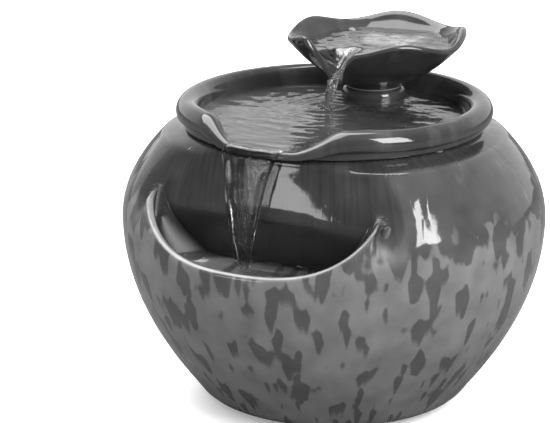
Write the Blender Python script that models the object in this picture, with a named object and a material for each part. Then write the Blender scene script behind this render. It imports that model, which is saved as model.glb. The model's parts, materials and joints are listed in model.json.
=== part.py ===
"""Tabletop water fountain: a glazed pot whose front is dented into a pocket, a spouted tray on the pot's
neck, a leaf-shaped bowl on the tray's pedestal, and the submersible pump inside that feeds the leaf.

Metres, +Z up. The origin is on the pot's axis, on the surface that the fountain stands on. The spout
and the pocket face -Y. An angle here is measured about +Z from the front, positive towards +X."""

from math import atan, cos, log, pi, radians, sin

import bmesh
import bpy
from mathutils import Vector

MM = 0.001
GAP = 0.3 * MM  # between touching pieces

# Pot: the belly is two parabolas, one below and one above its widest level
BELLY_RADIUS = 109.6 * MM
BELLY_HEIGHT = 98 * MM
LOWER_BULGE = 206 * MM
UPPER_BULGE = 87 * MM
WALL = 5.2 * MM
BASE_RADIUS = 58 * MM
PAD_THICKNESS = 1.4 * MM
BASE_HEIGHT = PAD_THICKNESS + GAP
INNER_FLOOR = 8 * MM

# Pocket: a crescent in front, between the lip of the outer wall and the dented shoulder behind it
LIP_LOW = 94.2 * MM
LIP_RISE = 27 * MM
LIP_SPAN = radians(39)
LIP_TOP = 121 * MM
LIP_ROLL = 2.5 * MM
POCKET_DEPTH = 19 * MM
POCKET_FULL = radians(24)
POCKET_END = radians(44)
DENT_SPAN = radians(47)
DENT_RADIUS = 79.5 * MM
DENT_FOOT_RADIUS = 66 * MM
DENT_FOOT = 82 * MM
DENT_BULGE = 118 * MM
DENT_EDGE = 7 * MM
DRAIN_WIDTH = 8 * MM
DRAIN_HEIGHT = 6.5 * MM

# Neck of the pot: a flat seat for the tray round a plain bore
NECK_RADIUS = 78.6 * MM
NECK_BORE = 68.6 * MM
NECK_TOP = 144.4 * MM
SHOULDER_TOP = 140.5 * MM

# Tray: a shallow dish that plugs into the neck, with a rolled rim that opens into a spout
BUMPER_THICKNESS = 0.8 * MM
TRAY_SEAT = NECK_TOP + BUMPER_THICKNESS + 2 * GAP
TRAY_BOTTOM = 140.8 * MM
TRAY_FLOOR = 145 * MM
TRAY_PLUG_RADIUS = 66.4 * MM
TRAY_BAND_RADIUS = 77.6 * MM
RIM_RADIUS = 75 * MM
RIM_HEIGHT = 153 * MM
RIM_ROLL = 6.4 * MM
SPOUT_ANGLES = (radians(11), radians(31))
SPOUT_RADIUS = 79.4 * MM
SPOUT_HEIGHT = 147.4 * MM
SPOUT_ROLL = 2.5 * MM

# Pedestal of the tray and the leaf bowl on it, both about the nozzle's axis
NOZZLE_Y = 46.5 * MM
PEDESTAL_RADIUS = 16.8 * MM
PEDESTAL_TOP = 155 * MM
PEDESTAL_BORE = 9 * MM
SEAL_THICKNESS = 0.9 * MM
LEAF_FOOT = PEDESTAL_TOP + SEAL_THICKNESS + 2 * GAP
LEAF_FOOT_RADIUS = 16.6 * MM
LEAF_BORE = 7.4 * MM
LEAF_RIM_RADIUS = 46.5 * MM
LEAF_RIM_HEIGHT = 181.5 * MM
LEAF_WAVE = 2.9 * MM
LEAF_WAVE_PHASE = radians(43)
LEAF_SHIFT = 2 * MM
LEAF_SHIFT_ANGLE = radians(115)
LEAF_LOBES = 5
LEAF_NOTCH_ANGLE = radians(-13.5)
LEAF_NOTCH_DEPTH = 20 * MM
LEAF_NOTCH_RADIUS = 31 * MM
LEAF_NOTCH_FLAT = radians(4)
LEAF_NOTCH_WIDTHS = (radians(12), radians(24))
LEAF_WALL = 3.2 * MM
LEAF_SAG = 2.2 * MM  # how far the wall bellies out from a straight line
LEAF_INNER_SAG = 3.7 * MM
LEAF_FLOOR = LEAF_FOOT + 6 * MM

# Nozzle and riser tube
NOZZLE_RADIUS = 6.6 * MM
NOZZLE_STEM_RADIUS = 5.6 * MM
NOZZLE_BORE = 4.4 * MM
NOZZLE_BOTTOM = 118 * MM
NOZZLE_TOP = 162 * MM
TUBE_INNER = NOZZLE_STEM_RADIUS + GAP
TUBE_OUTER = TUBE_INNER + 1.1 * MM
TUBE_TOP = 132 * MM

# Pump, with its shaft along Y: the intake is in front and the sealed motor behind
SHAFT_HEIGHT = 29 * MM
SHAFT_RADIUS = 1.25 * MM
HOUSING_LOW = Vector((-23, 8, 14)) * MM
HOUSING_HIGH = Vector((23, 44, 56)) * MM
HOUSING_WALL = 3 * MM
WELL_INNER = 9.8 * MM
WELL_OUTER = 11.5 * MM
WELL_END = 32 * MM
VOLUTE_OUTER = 15 * MM
VOLUTE_INNER = 13 * MM
VOLUTE_FRONT = -5.5 * MM
OUTLET_Y = 0.7 * MM
OUTLET_BORE = 4 * MM
OUTLET_TOP = 64 * MM
COVER_INNER = 16.5 * MM
COVER_OUTER = 18.2 * MM
COVER_FRONT = -20 * MM

# How finely round shapes are divided
POCKET_STEP = 4
PLAIN_STEP = 10


def smooth_step(low, high, value):
    """0 below low, 1 above high, and a smooth rise between them."""
    share = min(max((value - low) / (high - low), 0), 1)
    return share * share * (3 - 2 * share)


def mix(first, second, share):
    return tuple(a + (b - a) * share for a, b in zip(first, second))


def smooth_min(first, second, width):
    """The smaller value, rounded over where the two come within width of each other."""
    share = min(max(0.5 + 0.5 * (second - first) / width, 0), 1)
    return second + (first - second) * share - width * share * (1 - share) / 2


def spread(low, high, count):
    """Evenly spaced values from low to high, both included."""
    return [low + (high - low) * i / (count - 1) for i in range(count)]


# Materials and mesh helpers

def new_material(name, colour, roughness, metallic=0.0, alpha=1.0):
    material = bpy.data.materials.new(name)
    material.use_nodes = True
    shader = material.node_tree.nodes["Principled BSDF"]
    shader.inputs["Base Color"].default_value = (*colour, 1)
    shader.inputs["Roughness"].default_value = roughness
    shader.inputs["Metallic"].default_value = metallic
    shader.inputs["Alpha"].default_value = alpha
    material.diffuse_color = (*colour, alpha)
    return material


def add_object(name, bm, material, parent, location=(0, 0, 0), rotation=(0, 0, 0)):
    """A named object made from a bmesh, placed by its own location and rotation under a parent."""
    bmesh.ops.recalc_face_normals(bm, faces=bm.faces)
    mesh = bpy.data.meshes.new(name)
    bm.to_mesh(mesh)
    bm.free()
    mesh.materials.append(material)
    mesh.shade_smooth()
    mesh.set_sharp_from_angle(angle=radians(35))
    obj = bpy.data.objects.new(name, mesh)
    obj.location = location
    obj.rotation_euler = rotation
    obj.parent = parent
    bpy.context.scene.collection.objects.link(obj)
    return obj


def ring_bmesh(sections):
    """A closed surface through a ring of sections of (x, y, z) points. A section that starts and ends
    on the ring's axis closes there in one point; any other section is itself a closed loop."""
    bm = bmesh.new()
    on_axis = Vector(sections[0][0][:2]).length < 1e-9
    count = len(sections[0])
    poles = [bm.verts.new(sections[0][0]), bm.verts.new(sections[0][-1])] if on_axis else []
    inner = range(1, count - 1) if on_axis else range(count)
    rings = [[bm.verts.new(section[i]) for i in inner] for section in sections]
    for this, following in zip(rings, rings[1:] + rings[:1]):
        if on_axis:
            bm.faces.new((poles[0], following[0], this[0]))
            bm.faces.new((poles[1], this[-1], following[-1]))
        last = len(this) - 1 if on_axis else len(this)
        for i in range(last):
            j = (i + 1) % len(this)
            bm.faces.new((this[i], following[i], following[j], this[j]))
    return bm


def turned_bmesh(profile, segments):
    """A solid of revolution about Z from a closed profile of (radius, z) points."""
    sections = []
    for i in range(segments):
        angle = 2 * pi * i / segments
        sections.append([(r * sin(angle), -r * cos(angle), z) for r, z in profile])
    return ring_bmesh(sections)


def box_bmesh(low, high):
    bm = bmesh.new()
    bmesh.ops.create_cube(bm, size=1)
    centre = (Vector(low) + Vector(high)) / 2
    size = Vector(high) - Vector(low)
    for vertex in bm.verts:
        vertex.co = centre + Vector(a * b for a, b in zip(vertex.co, size))
    return bm


def tube_profile(inner, outer, low, high):
    """The closed profile of a plain sleeve."""
    return [(inner, low), (outer, low), (outer, high), (inner, high)]


def disc_profile(radius, low, high, edge=0.0):
    """The profile of a plain solid disc, with an optional chamfer on its rims."""
    if not edge:
        return [(0, low), (radius, low), (radius, high), (0, high)]
    return [(0, low), (radius - edge, low), (radius, low + edge), (radius, high - edge),
            (radius - edge, high), (0, high)]


def add_boolean(target, tool, operation="DIFFERENCE"):
    """Cuts or joins a hidden tool object with a target."""
    tool.hide_render = True
    tool.display_type = "WIRE"
    modifier = target.modifiers.new(operation.title() + " " + tool.name, "BOOLEAN")
    modifier.operation = operation
    modifier.object = tool


def add_empty(name, location, parent=None):
    empty = bpy.data.objects.new(name, None)
    empty.location = location
    empty.parent = parent
    bpy.context.scene.collection.objects.link(empty)
    return empty


# Pot: the shape of its walls

def outer_radius(z):
    """The pot's outer wall, before the dent."""
    bulge = LOWER_BULGE if z < BELLY_HEIGHT else UPPER_BULGE
    return BELLY_RADIUS - (z - BELLY_HEIGHT) ** 2 / bulge


def lip_height(angle):
    """The top of the pocket's lip, which climbs to both ends like a smile."""
    return min(LIP_LOW + LIP_RISE * (abs(angle) / LIP_SPAN) ** 3.2, LIP_TOP)


def dent_radius(angle, z):
    """The outside of the wall behind the pocket: barrel-shaped in the middle, running out into the
    shoulder at a soft crease on both sides."""
    outer = outer_radius(z)
    middle = DENT_FOOT_RADIUS + (DENT_RADIUS - DENT_FOOT_RADIUS) * smooth_step(DENT_FOOT, DENT_BULGE, z)
    middle -= 1.5 * MM * smooth_step(DENT_BULGE, SHOULDER_TOP, z)
    clear = min(abs(angle), radians(75))
    reach = log(cos(clear)) / log(cos(DENT_SPAN))
    return smooth_min(outer, middle * (outer / middle) ** reach, DENT_EDGE)


def pocket_share(angle):
    """1 along the pocket, falling to 0 where it runs out."""
    return 1 - smooth_step(POCKET_FULL, POCKET_END, abs(angle))


def pocket_closing(angle):
    """1 where the pocket is open, falling to 0 at its pinched ends."""
    return smooth_step(0, 0.35, pocket_share(angle))


def front_radius(angle, z):
    """The outer wall below the lip. Past the pocket's ends it eases into the dent above it."""
    lip = lip_height(angle)
    ease = (1 - pocket_closing(angle)) * smooth_step(lip - 16 * MM, lip, z)
    return outer_radius(z) + (dent_radius(angle, z) - outer_radius(z)) * ease


def pocket_path(angle):
    """From the lip over its roll and down into the pocket, across its floor to the foot of the dent.
    Away from the pocket the same points lie along the plain wall."""
    lip = lip_height(angle)
    share = pocket_share(angle)
    roll_centre = outer_radius(lip) - LIP_ROLL
    floor = lip - POCKET_DEPTH * share
    inside = roll_centre - LIP_ROLL
    foot = dent_radius(angle, floor + 4 * MM)
    start = (front_radius(angle, lip - LIP_ROLL), lip - LIP_ROLL)
    end = (dent_radius(angle, lip + 2 * MM), lip + 2 * MM)
    pocket = []
    for turn in (45, 90, 135, 180):
        over = radians(turn)
        pocket.append((roll_centre + LIP_ROLL * cos(over), lip - LIP_ROLL + LIP_ROLL * sin(over)))
    pocket.append((inside, (lip + floor) / 2))
    pocket.append((inside - 0.5 * MM, floor + 4 * MM))
    pocket.append((inside - 4 * MM, floor))
    pocket.append((foot + 4 * MM, floor))
    pocket.append((foot, floor + 4 * MM))
    plain = [mix(start, end, (i + 1) / (len(pocket) + 1)) for i in range(len(pocket))]
    return [mix(flat, deep, pocket_closing(angle)) for flat, deep in zip(plain, pocket)]


def neck_path(angle):
    """From the shoulder through a hollow to the flat seat, and over its edge into the bore."""
    shoulder = dent_radius(angle, SHOULDER_TOP)
    edge = min(NECK_RADIUS, shoulder - 0.4 * MM)
    hollow = shoulder - edge
    return [
        (edge + 0.6 * hollow, SHOULDER_TOP + 1.4 * MM),
        (edge + 0.25 * hollow, SHOULDER_TOP + 2.4 * MM),
        (edge, NECK_TOP - 0.6 * MM),
        (edge - 0.8 * MM, NECK_TOP),
        (NECK_BORE + 1.2 * MM, NECK_TOP),
        (NECK_BORE, NECK_TOP - 1.2 * MM),
    ]


def pot_section(angle):
    """One radial section of the pot, as (radius, z) points from the axis under the base round the
    outside, over the neck and down the inside to the axis again."""
    lip = lip_height(angle)
    share = pocket_share(angle)
    closing = pocket_closing(angle)
    floor = lip - POCKET_DEPTH * share
    outline = [(0, BASE_HEIGHT + 2 * MM), (44 * MM, BASE_HEIGHT + 2 * MM), (46 * MM, BASE_HEIGHT),
               (BASE_RADIUS, BASE_HEIGHT), (62.5 * MM, BASE_HEIGHT + 0.9 * MM)]
    outline += [(front_radius(angle, z), z) for z in spread(BASE_HEIGHT + 3 * MM, lip - LIP_ROLL, 11)]
    outline += pocket_path(angle)
    dent_low = lip + 2 * MM + (floor + 7 * MM - lip - 2 * MM) * closing
    outline += [(dent_radius(angle, z), z) for z in spread(dent_low, SHOULDER_TOP, 10)]
    outline += neck_path(angle)
    # Inside: the wall is as thick as WALL all the way, also round the pocket
    under = floor - WALL
    shelf = outer_radius(under) - WALL
    inner_low = lip + (under - lip) * closing
    inner_high = SHOULDER_TOP - 1.5 * MM
    inside = [(dent_radius(angle, max(z, floor)) - WALL, z) for z in spread(inner_high, inner_low, 8)]
    inside[0] = (NECK_BORE, inner_high)
    step_in = inside[-1]
    wall_start = under - 5 * MM + (lip - 8 * MM - under + 5 * MM) * (1 - closing)
    for part in (1, 2):
        deep = (step_in[0] + (shelf - step_in[0]) * part / 2.3, under)
        z = step_in[1] + (wall_start - step_in[1]) * part / 3
        plain = (outer_radius(z) - WALL, z)
        inside.append(mix(plain, deep, closing))
    inside += [(outer_radius(z) - WALL, z) for z in spread(wall_start, INNER_FLOOR + 7 * MM, 7)]
    outline += inside
    outline += [(62 * MM, INNER_FLOOR + 1 * MM), (55 * MM, INNER_FLOOR), (0, INNER_FLOOR)]
    return outline


def around(section, angle):
    return [(r * sin(angle), -r * cos(angle), z) for r, z in section]


def section_angles():
    """Close together along the pocket and the spout, wider apart round the back."""
    near = range(-60, 61, POCKET_STEP)
    far = range(60 + PLAIN_STEP, 300, PLAIN_STEP)
    return [radians(degrees) for degrees in (*near, *far)]


def make_pot(glaze, root):
    sections = [around(pot_section(angle), angle) for angle in section_angles()]
    pot = add_object("pot_body", ring_bmesh(sections), glaze, root)
    for i, degrees in enumerate((-13, 0, 13)):
        angle = radians(degrees)
        low = (-DRAIN_WIDTH / 2, -76 * MM, 78.5 * MM)
        high = (DRAIN_WIDTH / 2, -50 * MM, 78.5 * MM + DRAIN_HEIGHT)
        cutter = add_object(f"drain_cutter_{i + 1}", box_bmesh(low, high), glaze, root)
        cutter.rotation_euler.z = angle
        add_boolean(pot, cutter)
    return pot


# Tray

def tray_section(angle):
    """One radial section of the tray: dish floor, rolled rim, band under it, seat, and plug. Towards the
    spout the roll gets thinner, lower and wider, until it is the spout's pouring edge."""
    plain = smooth_step(*SPOUT_ANGLES, abs(angle))
    beside_spout = smooth_step(radians(20), radians(31), abs(angle))
    before_side = 1 - smooth_step(radians(36), radians(60), abs(angle))
    crest = 1 * MM * beside_spout * before_side
    roll = SPOUT_ROLL + (RIM_ROLL - SPOUT_ROLL) * plain
    radius = SPOUT_RADIUS + (RIM_RADIUS - SPOUT_RADIUS) * plain
    height = SPOUT_HEIGHT + (RIM_HEIGHT - SPOUT_HEIGHT) * plain + crest
    section = [(0, TRAY_FLOOR), (30 * MM, TRAY_FLOOR), (52 * MM, TRAY_FLOOR + 0.3 * MM),
               (61 * MM, TRAY_FLOOR + 1.4 * MM), (67 * MM, TRAY_FLOOR + 3.6 * MM)]
    for turn in (160, 130, 98, 66, 34, 2, -30):
        section.append((radius + roll * cos(radians(turn)), height + roll * sin(radians(turn))))
    groove = height - 0.72 * roll
    section += [
        (TRAY_BAND_RADIUS, max(groove, TRAY_SEAT + 0.6 * MM)),
        (TRAY_BAND_RADIUS - 0.2 * MM, TRAY_SEAT + 0.3 * MM),
        (TRAY_BAND_RADIUS - 0.8 * MM, TRAY_SEAT),
        (TRAY_PLUG_RADIUS + 1 * MM, TRAY_SEAT),
        (TRAY_PLUG_RADIUS, TRAY_SEAT - 1 * MM),
        (TRAY_PLUG_RADIUS, TRAY_BOTTOM + 1 * MM),
        (TRAY_PLUG_RADIUS - 1 * MM, TRAY_BOTTOM),
        (30 * MM, TRAY_BOTTOM),
        (0, TRAY_BOTTOM),
    ]
    return section


def make_tray(glaze, lift):
    sections = [around(tray_section(angle), angle) for angle in section_angles()]
    tray = add_object("tray", ring_bmesh(sections), glaze, lift)
    column = [(0, TRAY_BOTTOM + 1 * MM), (PEDESTAL_RADIUS + 2 * MM, TRAY_BOTTOM + 1 * MM),
              (PEDESTAL_RADIUS + 2 * MM, TRAY_FLOOR + 0.5 * MM), (PEDESTAL_RADIUS, TRAY_FLOOR + 2.5 * MM),
              (PEDESTAL_RADIUS, PEDESTAL_TOP - 1 * MM), (PEDESTAL_RADIUS - 1 * MM, PEDESTAL_TOP),
              (0, PEDESTAL_TOP)]
    pedestal = add_object("pedestal_tool", turned_bmesh(column, 32), glaze, lift, (0, NOZZLE_Y, 0))
    add_boolean(tray, pedestal, "UNION")
    bore = disc_profile(PEDESTAL_BORE, TRAY_BOTTOM - 5 * MM, PEDESTAL_TOP + 5 * MM)
    bore_tool = add_object("pedestal_bore_tool", turned_bmesh(bore, 24), glaze, lift, (0, NOZZLE_Y, 0))
    add_boolean(tray, bore_tool)


def make_bumpers(silicone, lift):
    """Three clear pads that keep the glazed tray from rattling on the glazed neck."""
    for i, degrees in enumerate((70, 180, 290)):
        angle = radians(degrees)
        radius = (NECK_RADIUS + NECK_BORE) / 2
        low = NECK_TOP + GAP
        pad = turned_bmesh(disc_profile(3 * MM, low, low + BUMPER_THICKNESS), 16)
        place = (radius * sin(angle), -radius * cos(angle), 0)
        add_object(f"tray_bumper_{i + 1}", pad, silicone, lift, place)


# Leaf bowl

def leaf_notch(angle):
    """1 in the bottom of the pouring notch, 0 clear of it. Its left side is the steeper one."""
    turn = (angle - LEAF_NOTCH_ANGLE + pi) % (2 * pi) - pi
    width = LEAF_NOTCH_WIDTHS[1] if turn > 0 else LEAF_NOTCH_WIDTHS[0]
    return 1 - smooth_step(LEAF_NOTCH_FLAT, LEAF_NOTCH_FLAT + width, abs(turn))


def leaf_section(angle):
    notch = leaf_notch(angle)
    wave = LEAF_WAVE * cos(LEAF_LOBES * (angle - LEAF_WAVE_PHASE)) * (1 - notch)
    rim_z = LEAF_RIM_HEIGHT + wave - LEAF_NOTCH_DEPTH * notch
    shift = LEAF_SHIFT * cos(angle - LEAF_SHIFT_ANGLE)
    full_r = LEAF_RIM_RADIUS + shift
    rim_r = full_r - 0.3 * wave + (LEAF_NOTCH_RADIUS - full_r) * notch
    section = [(LEAF_BORE, LEAF_FOOT), (LEAF_FOOT_RADIUS - 1 * MM, LEAF_FOOT),
               (LEAF_FOOT_RADIUS, LEAF_FOOT + 1 * MM)]
    foot = Vector((LEAF_FOOT_RADIUS, LEAF_FOOT + 1.5 * MM))
    rim = Vector((rim_r, rim_z))
    side = rim - foot
    normal = Vector((side.y, -side.x)).normalized()
    sag = LEAF_SAG * (1 - notch)
    inner_sag = LEAF_INNER_SAG * (1 - notch)
    for share in (0.2, 0.45, 0.7, 0.9):
        point = foot + side * share + normal * sag * sin(pi * share)
        section.append((point.x, point.y))
    lean = Vector((-normal.x, -normal.y)) * LEAF_WALL
    out = side.normalized()
    middle = rim + lean / 2
    section.append(tuple(rim))
    section.append(tuple(middle + out * LEAF_WALL * 0.45))
    section.append(tuple(rim + lean))
    inner_foot = Vector((LEAF_BORE + 4 * MM, LEAF_FLOOR))
    inner_side = rim + lean - inner_foot
    for share in (0.85, 0.6, 0.35, 0.15):
        point = inner_foot + inner_side * share + normal * inner_sag * sin(pi * share)
        section.append((point.x, point.y))
    section.append(tuple(inner_foot))
    section.append((LEAF_BORE, LEAF_FLOOR))
    return section


def make_leaf(glaze, lift):
    """The sections are close together round the notch and wider apart elsewhere."""
    notch = round(LEAF_NOTCH_ANGLE * 180 / pi)
    near = [notch + offset for offset in range(-24, 37, 4)]
    far = [notch + offset for offset in range(42, 331, 8)]
    sections = [around(leaf_section(radians(degrees)), radians(degrees)) for degrees in near + far]
    add_object("leaf_bowl", ring_bmesh(sections), glaze, lift)


def make_leaf_seal(silicone, swivel):
    low = PEDESTAL_TOP + GAP
    ring = tube_profile(PEDESTAL_BORE + 1 * MM, PEDESTAL_RADIUS - 2.5 * MM, low, low + SEAL_THICKNESS)
    add_object("leaf_seal_ring", turned_bmesh(ring, 32), silicone, swivel)


# Nozzle and tube

def make_nozzle(plastic, silicone, lift):
    """The nozzle comes up through the pedestal. Its flange stops it under the tray."""
    flange = TRAY_BOTTOM - GAP
    profile = [(NOZZLE_BORE, NOZZLE_BOTTOM), (NOZZLE_STEM_RADIUS - 0.5 * MM, NOZZLE_BOTTOM),
               (NOZZLE_STEM_RADIUS, NOZZLE_BOTTOM + 2 * MM), (NOZZLE_STEM_RADIUS, flange - 2 * MM),
               (11 * MM, flange - 2 * MM), (11 * MM, flange), (NOZZLE_RADIUS, flange),
               (NOZZLE_RADIUS, NOZZLE_TOP), (NOZZLE_BORE, NOZZLE_TOP)]
    place = (0, NOZZLE_Y, 0)
    add_object("nozzle", turned_bmesh(profile, 24), plastic, lift, place)
    sleeve = tube_profile(NOZZLE_RADIUS + GAP, PEDESTAL_BORE - GAP, TRAY_BOTTOM + GAP, PEDESTAL_TOP - GAP)
    add_object("nozzle_sleeve", turned_bmesh(sleeve, 24), silicone, lift, place)


def tube_centre(share):
    """The tube rises straight off the pump, leans back to the nozzle and rises straight again."""
    low = 50 * MM
    z = low + (TUBE_TOP - low) * share
    lean = smooth_step(64 * MM, 118 * MM, z)
    return Vector((0, OUTLET_Y + (NOZZLE_Y - OUTLET_Y) * lean, z))


def make_tube(clear, root):
    segments = 16
    stations = 18
    rings = []
    for radius, shares in ((TUBE_OUTER, spread(0, 1, stations)), (TUBE_INNER, spread(1, 0, stations))):
        for share in shares:
            ahead = tube_centre(min(share + 0.01, 1)) - tube_centre(max(share - 0.01, 0))
            side = Vector((1, 0, 0))
            up = ahead.cross(side).normalized()
            rings.append([tube_centre(share) + radius * (side * cos(2 * pi * i / segments)
                          + up * sin(2 * pi * i / segments)) for i in range(segments)])
    bm = bmesh.new()
    loops = [[bm.verts.new(point) for point in ring] for ring in rings]
    for this, following in zip(loops, loops[1:] + loops[:1]):
        for i in range(segments):
            j = (i + 1) % segments
            bm.faces.new((this[i], this[j], following[j], following[i]))
    add_object("riser_tube", bm, clear, root)


# Pot fittings

def make_foot_pads(rubber, root):
    """Four pads on the unglazed foot ring."""
    radius = (46 * MM + BASE_RADIUS) / 2
    for i in range(4):
        angle = radians(45 + 90 * i)
        pad = turned_bmesh(disc_profile(5 * MM, 0, PAD_THICKNESS, 0.3 * MM), 16)
        place = (radius * sin(angle), -radius * cos(angle), 0)
        add_object(f"foot_pad_{i + 1}", pad, rubber, root, place)


def make_cord_grommet(pot, rubber, glaze, root):
    """The gland high in the back wall, square to it, that the pump's cord passes through."""
    height = 122 * MM
    hole = 6 * MM
    slope = atan(2 * (height - BELLY_HEIGHT) / UPPER_BULGE)
    place = (0, outer_radius(height), height)
    outward = (slope - pi / 2, 0, 0)
    cutter = disc_profile(hole, -20 * MM, 20 * MM)
    hole_tool = add_object("cord_hole_tool", turned_bmesh(cutter, 24), glaze, root, place, outward)
    add_boolean(pot, hole_tool)
    inside = -WALL - 3 * GAP
    neck = hole - GAP
    profile = [(2.7 * MM, inside - 1.6 * MM), (7.6 * MM, inside - 1.6 * MM), (7.6 * MM, inside - 0.4 * MM),
               (neck, inside), (neck, GAP), (8.4 * MM, GAP), (8.4 * MM, GAP + 0.8 * MM),
               (6.5 * MM, GAP + 1.8 * MM), (2.7 * MM, GAP + 1.8 * MM)]
    add_object("cord_grommet", turned_bmesh(profile, 24), rubber, root, place, outward)


# Pump: turned pieces are drawn along Z and laid along Y

ALONG_Y = (-pi / 2, 0, 0)
SHAFT_PLACE = (0, 0, SHAFT_HEIGHT)


def add_along_shaft(name, profile, segments, material, parent):
    return add_object(name, turned_bmesh(profile, segments), material, parent, SHAFT_PLACE, ALONG_Y)


def bevel_edges(obj, width):
    modifier = obj.modifiers.new("Rounded edges", "BEVEL")
    modifier.width = width
    modifier.segments = 2
    modifier.limit_method = "ANGLE"
    modifier.angle_limit = radians(50)


def make_housing(plastic, root):
    """The motor case: open at the back, with the blind well that the rotor turns in."""
    housing = add_object("pump_housing", box_bmesh(HOUSING_LOW, HOUSING_HIGH), plastic, root)
    bevel_edges(housing, 2.5 * MM)
    wall = Vector((HOUSING_WALL, HOUSING_WALL + 1 * MM, HOUSING_WALL))
    low = HOUSING_LOW + wall
    high = Vector((HOUSING_HIGH.x - HOUSING_WALL, HOUSING_HIGH.y + 10 * MM, HOUSING_HIGH.z - HOUSING_WALL))
    add_boolean(housing, add_object("motor_bay_tool", box_bmesh(low, high), plastic, root))
    well = disc_profile(WELL_OUTER, HOUSING_LOW.y + 1 * MM, WELL_END + 5 * MM)
    add_boolean(housing, add_along_shaft("well_tool", well, 32, plastic, root), "UNION")
    hollow = [(0, HOUSING_LOW.y - 5 * MM), (WELL_INNER, HOUSING_LOW.y - 5 * MM), (WELL_INNER, WELL_END),
              (2.9 * MM, WELL_END), (2.9 * MM, WELL_END + 3 * MM), (0, WELL_END + 3 * MM)]
    add_boolean(housing, add_along_shaft("well_bore_tool", hollow, 32, plastic, root))


def make_motor(steel, copper, nylon, epoxy, rubber, root):
    """The laminated core straddles the rotor well. The coil on its yoke is potted behind a plate."""
    front, back = 15 * MM, 29 * MM
    core_low, core_high, yoke = 19 * MM, 49 * MM, 44 * MM
    inside, outside = 12 * MM, 18 * MM
    core_box = box_bmesh((-outside, front, core_low), (outside, back, core_high))
    core = add_object("stator_core", core_box, steel, root)
    slot = box_bmesh((-inside, front - 5 * MM, core_low - 5 * MM), (inside, back + 5 * MM, yoke))
    add_boolean(core, add_object("core_slot_tool", slot, steel, root))
    spool = [yoke - GAP - 1 * MM, core_high + GAP + 1 * MM, front - GAP - 1 * MM, back + GAP + 1 * MM]
    spool_box = box_bmesh((-10 * MM, spool[2], spool[0]), (10 * MM, spool[3], spool[1]))
    bobbin = add_object("coil_bobbin", spool_box, nylon, root)
    for i, side in enumerate((-1, 1)):
        ends = sorted((side * 8.8 * MM, side * 10.2 * MM))
        flange = box_bmesh((ends[0], front - 2.6 * MM, 41.2 * MM), (ends[1], back + 2.6 * MM, 52.4 * MM))
        add_boolean(bobbin, add_object(f"bobbin_flange_tool_{i + 1}", flange, nylon, root), "UNION")
    hole = box_bmesh((-20 * MM, front - GAP, yoke - GAP), (20 * MM, back + GAP, core_high + GAP))
    add_boolean(bobbin, add_object("bobbin_hole_tool", hole, nylon, root))
    coil_box = box_bmesh((-8.4 * MM, front - 2.4 * MM, 41.3 * MM), (8.4 * MM, back + 2.4 * MM, 52.2 * MM))
    coil = add_object("coil_winding", coil_box, copper, root)
    wound = box_bmesh((-20 * MM, spool[2] - GAP, spool[0] - GAP), (20 * MM, spool[3] + GAP, spool[1] + GAP))
    add_boolean(coil, add_object("coil_hole_tool", wound, copper, root))
    edge = HOUSING_WALL + GAP
    plate_low = (HOUSING_LOW.x + edge, 39 * MM, HOUSING_LOW.z + edge)
    plate_high = (HOUSING_HIGH.x - edge, 43 * MM, HOUSING_HIGH.z - edge)
    plate = add_object("motor_potting_plate", box_bmesh(plate_low, plate_high), epoxy, root)
    gland_place = (9 * MM, 0, 45 * MM)
    hole = turned_bmesh(disc_profile(4 * MM, 30 * MM, 50 * MM), 20)
    add_boolean(plate, add_object("gland_hole_tool", hole, epoxy, root, gland_place, ALONG_Y))
    gland = [(0, 39.5 * MM), (3.7 * MM, 39.5 * MM), (3.7 * MM, 43.3 * MM), (5 * MM, 43.3 * MM),
             (5 * MM, 45 * MM), (4 * MM, 52 * MM), (2.7 * MM, 52 * MM), (2.7 * MM, 43 * MM), (0, 43 * MM)]
    add_object("pump_cord_gland", turned_bmesh(gland, 20), rubber, root, gland_place, ALONG_Y)


def make_volute(plastic, rubber, root):
    """The impeller's chamber, with the intake holes in its front and the outlet spigot on top."""
    back = HOUSING_LOW.y - 1.2 * MM
    plate = VOLUTE_FRONT + 2 * MM
    cup = [(2.9 * MM, VOLUTE_FRONT), (VOLUTE_OUTER, VOLUTE_FRONT), (VOLUTE_OUTER, back), (VOLUTE_INNER, back),
           (VOLUTE_INNER, plate), (4.2 * MM, plate), (4.2 * MM, plate + 1 * MM), (2.9 * MM, plate + 1 * MM)]
    volute = add_along_shaft("pump_volute", cup, 28, plastic, root)
    outlet_place = (0, OUTLET_Y, 0)
    spigot = disc_profile(TUBE_INNER - GAP, SHAFT_HEIGHT + VOLUTE_INNER + 0.6 * MM, OUTLET_TOP)
    turn = (0, 0, radians(5))
    spigot_tool = add_object("spigot_tool", turned_bmesh(spigot, 20), plastic, root, outlet_place, turn)
    add_boolean(volute, spigot_tool, "UNION")
    bore = disc_profile(OUTLET_BORE, SHAFT_HEIGHT + 8 * MM, OUTLET_TOP + 5 * MM)
    bore_tool = add_object("spigot_bore_tool", turned_bmesh(bore, 18), plastic, root, outlet_place, turn)
    add_boolean(volute, bore_tool)
    for i in range(6):
        angle = radians(60 * i + 17)
        hole = turned_bmesh(disc_profile(2.1 * MM, VOLUTE_FRONT - 2 * MM, plate + 1 * MM), 12)
        place = (7.6 * MM * sin(angle), 0, SHAFT_HEIGHT + 7.6 * MM * cos(angle))
        add_boolean(volute, add_object(f"intake_hole_tool_{i + 1}", hole, plastic, root, place, ALONG_Y))
    inner, outer = VOLUTE_INNER + 0.2 * MM, VOLUTE_OUTER - 0.2 * MM
    gasket = tube_profile(inner, outer, back + 0.2 * MM, HOUSING_LOW.y - 0.2 * MM)
    add_along_shaft("volute_gasket", gasket, 32, rubber, root)


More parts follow.
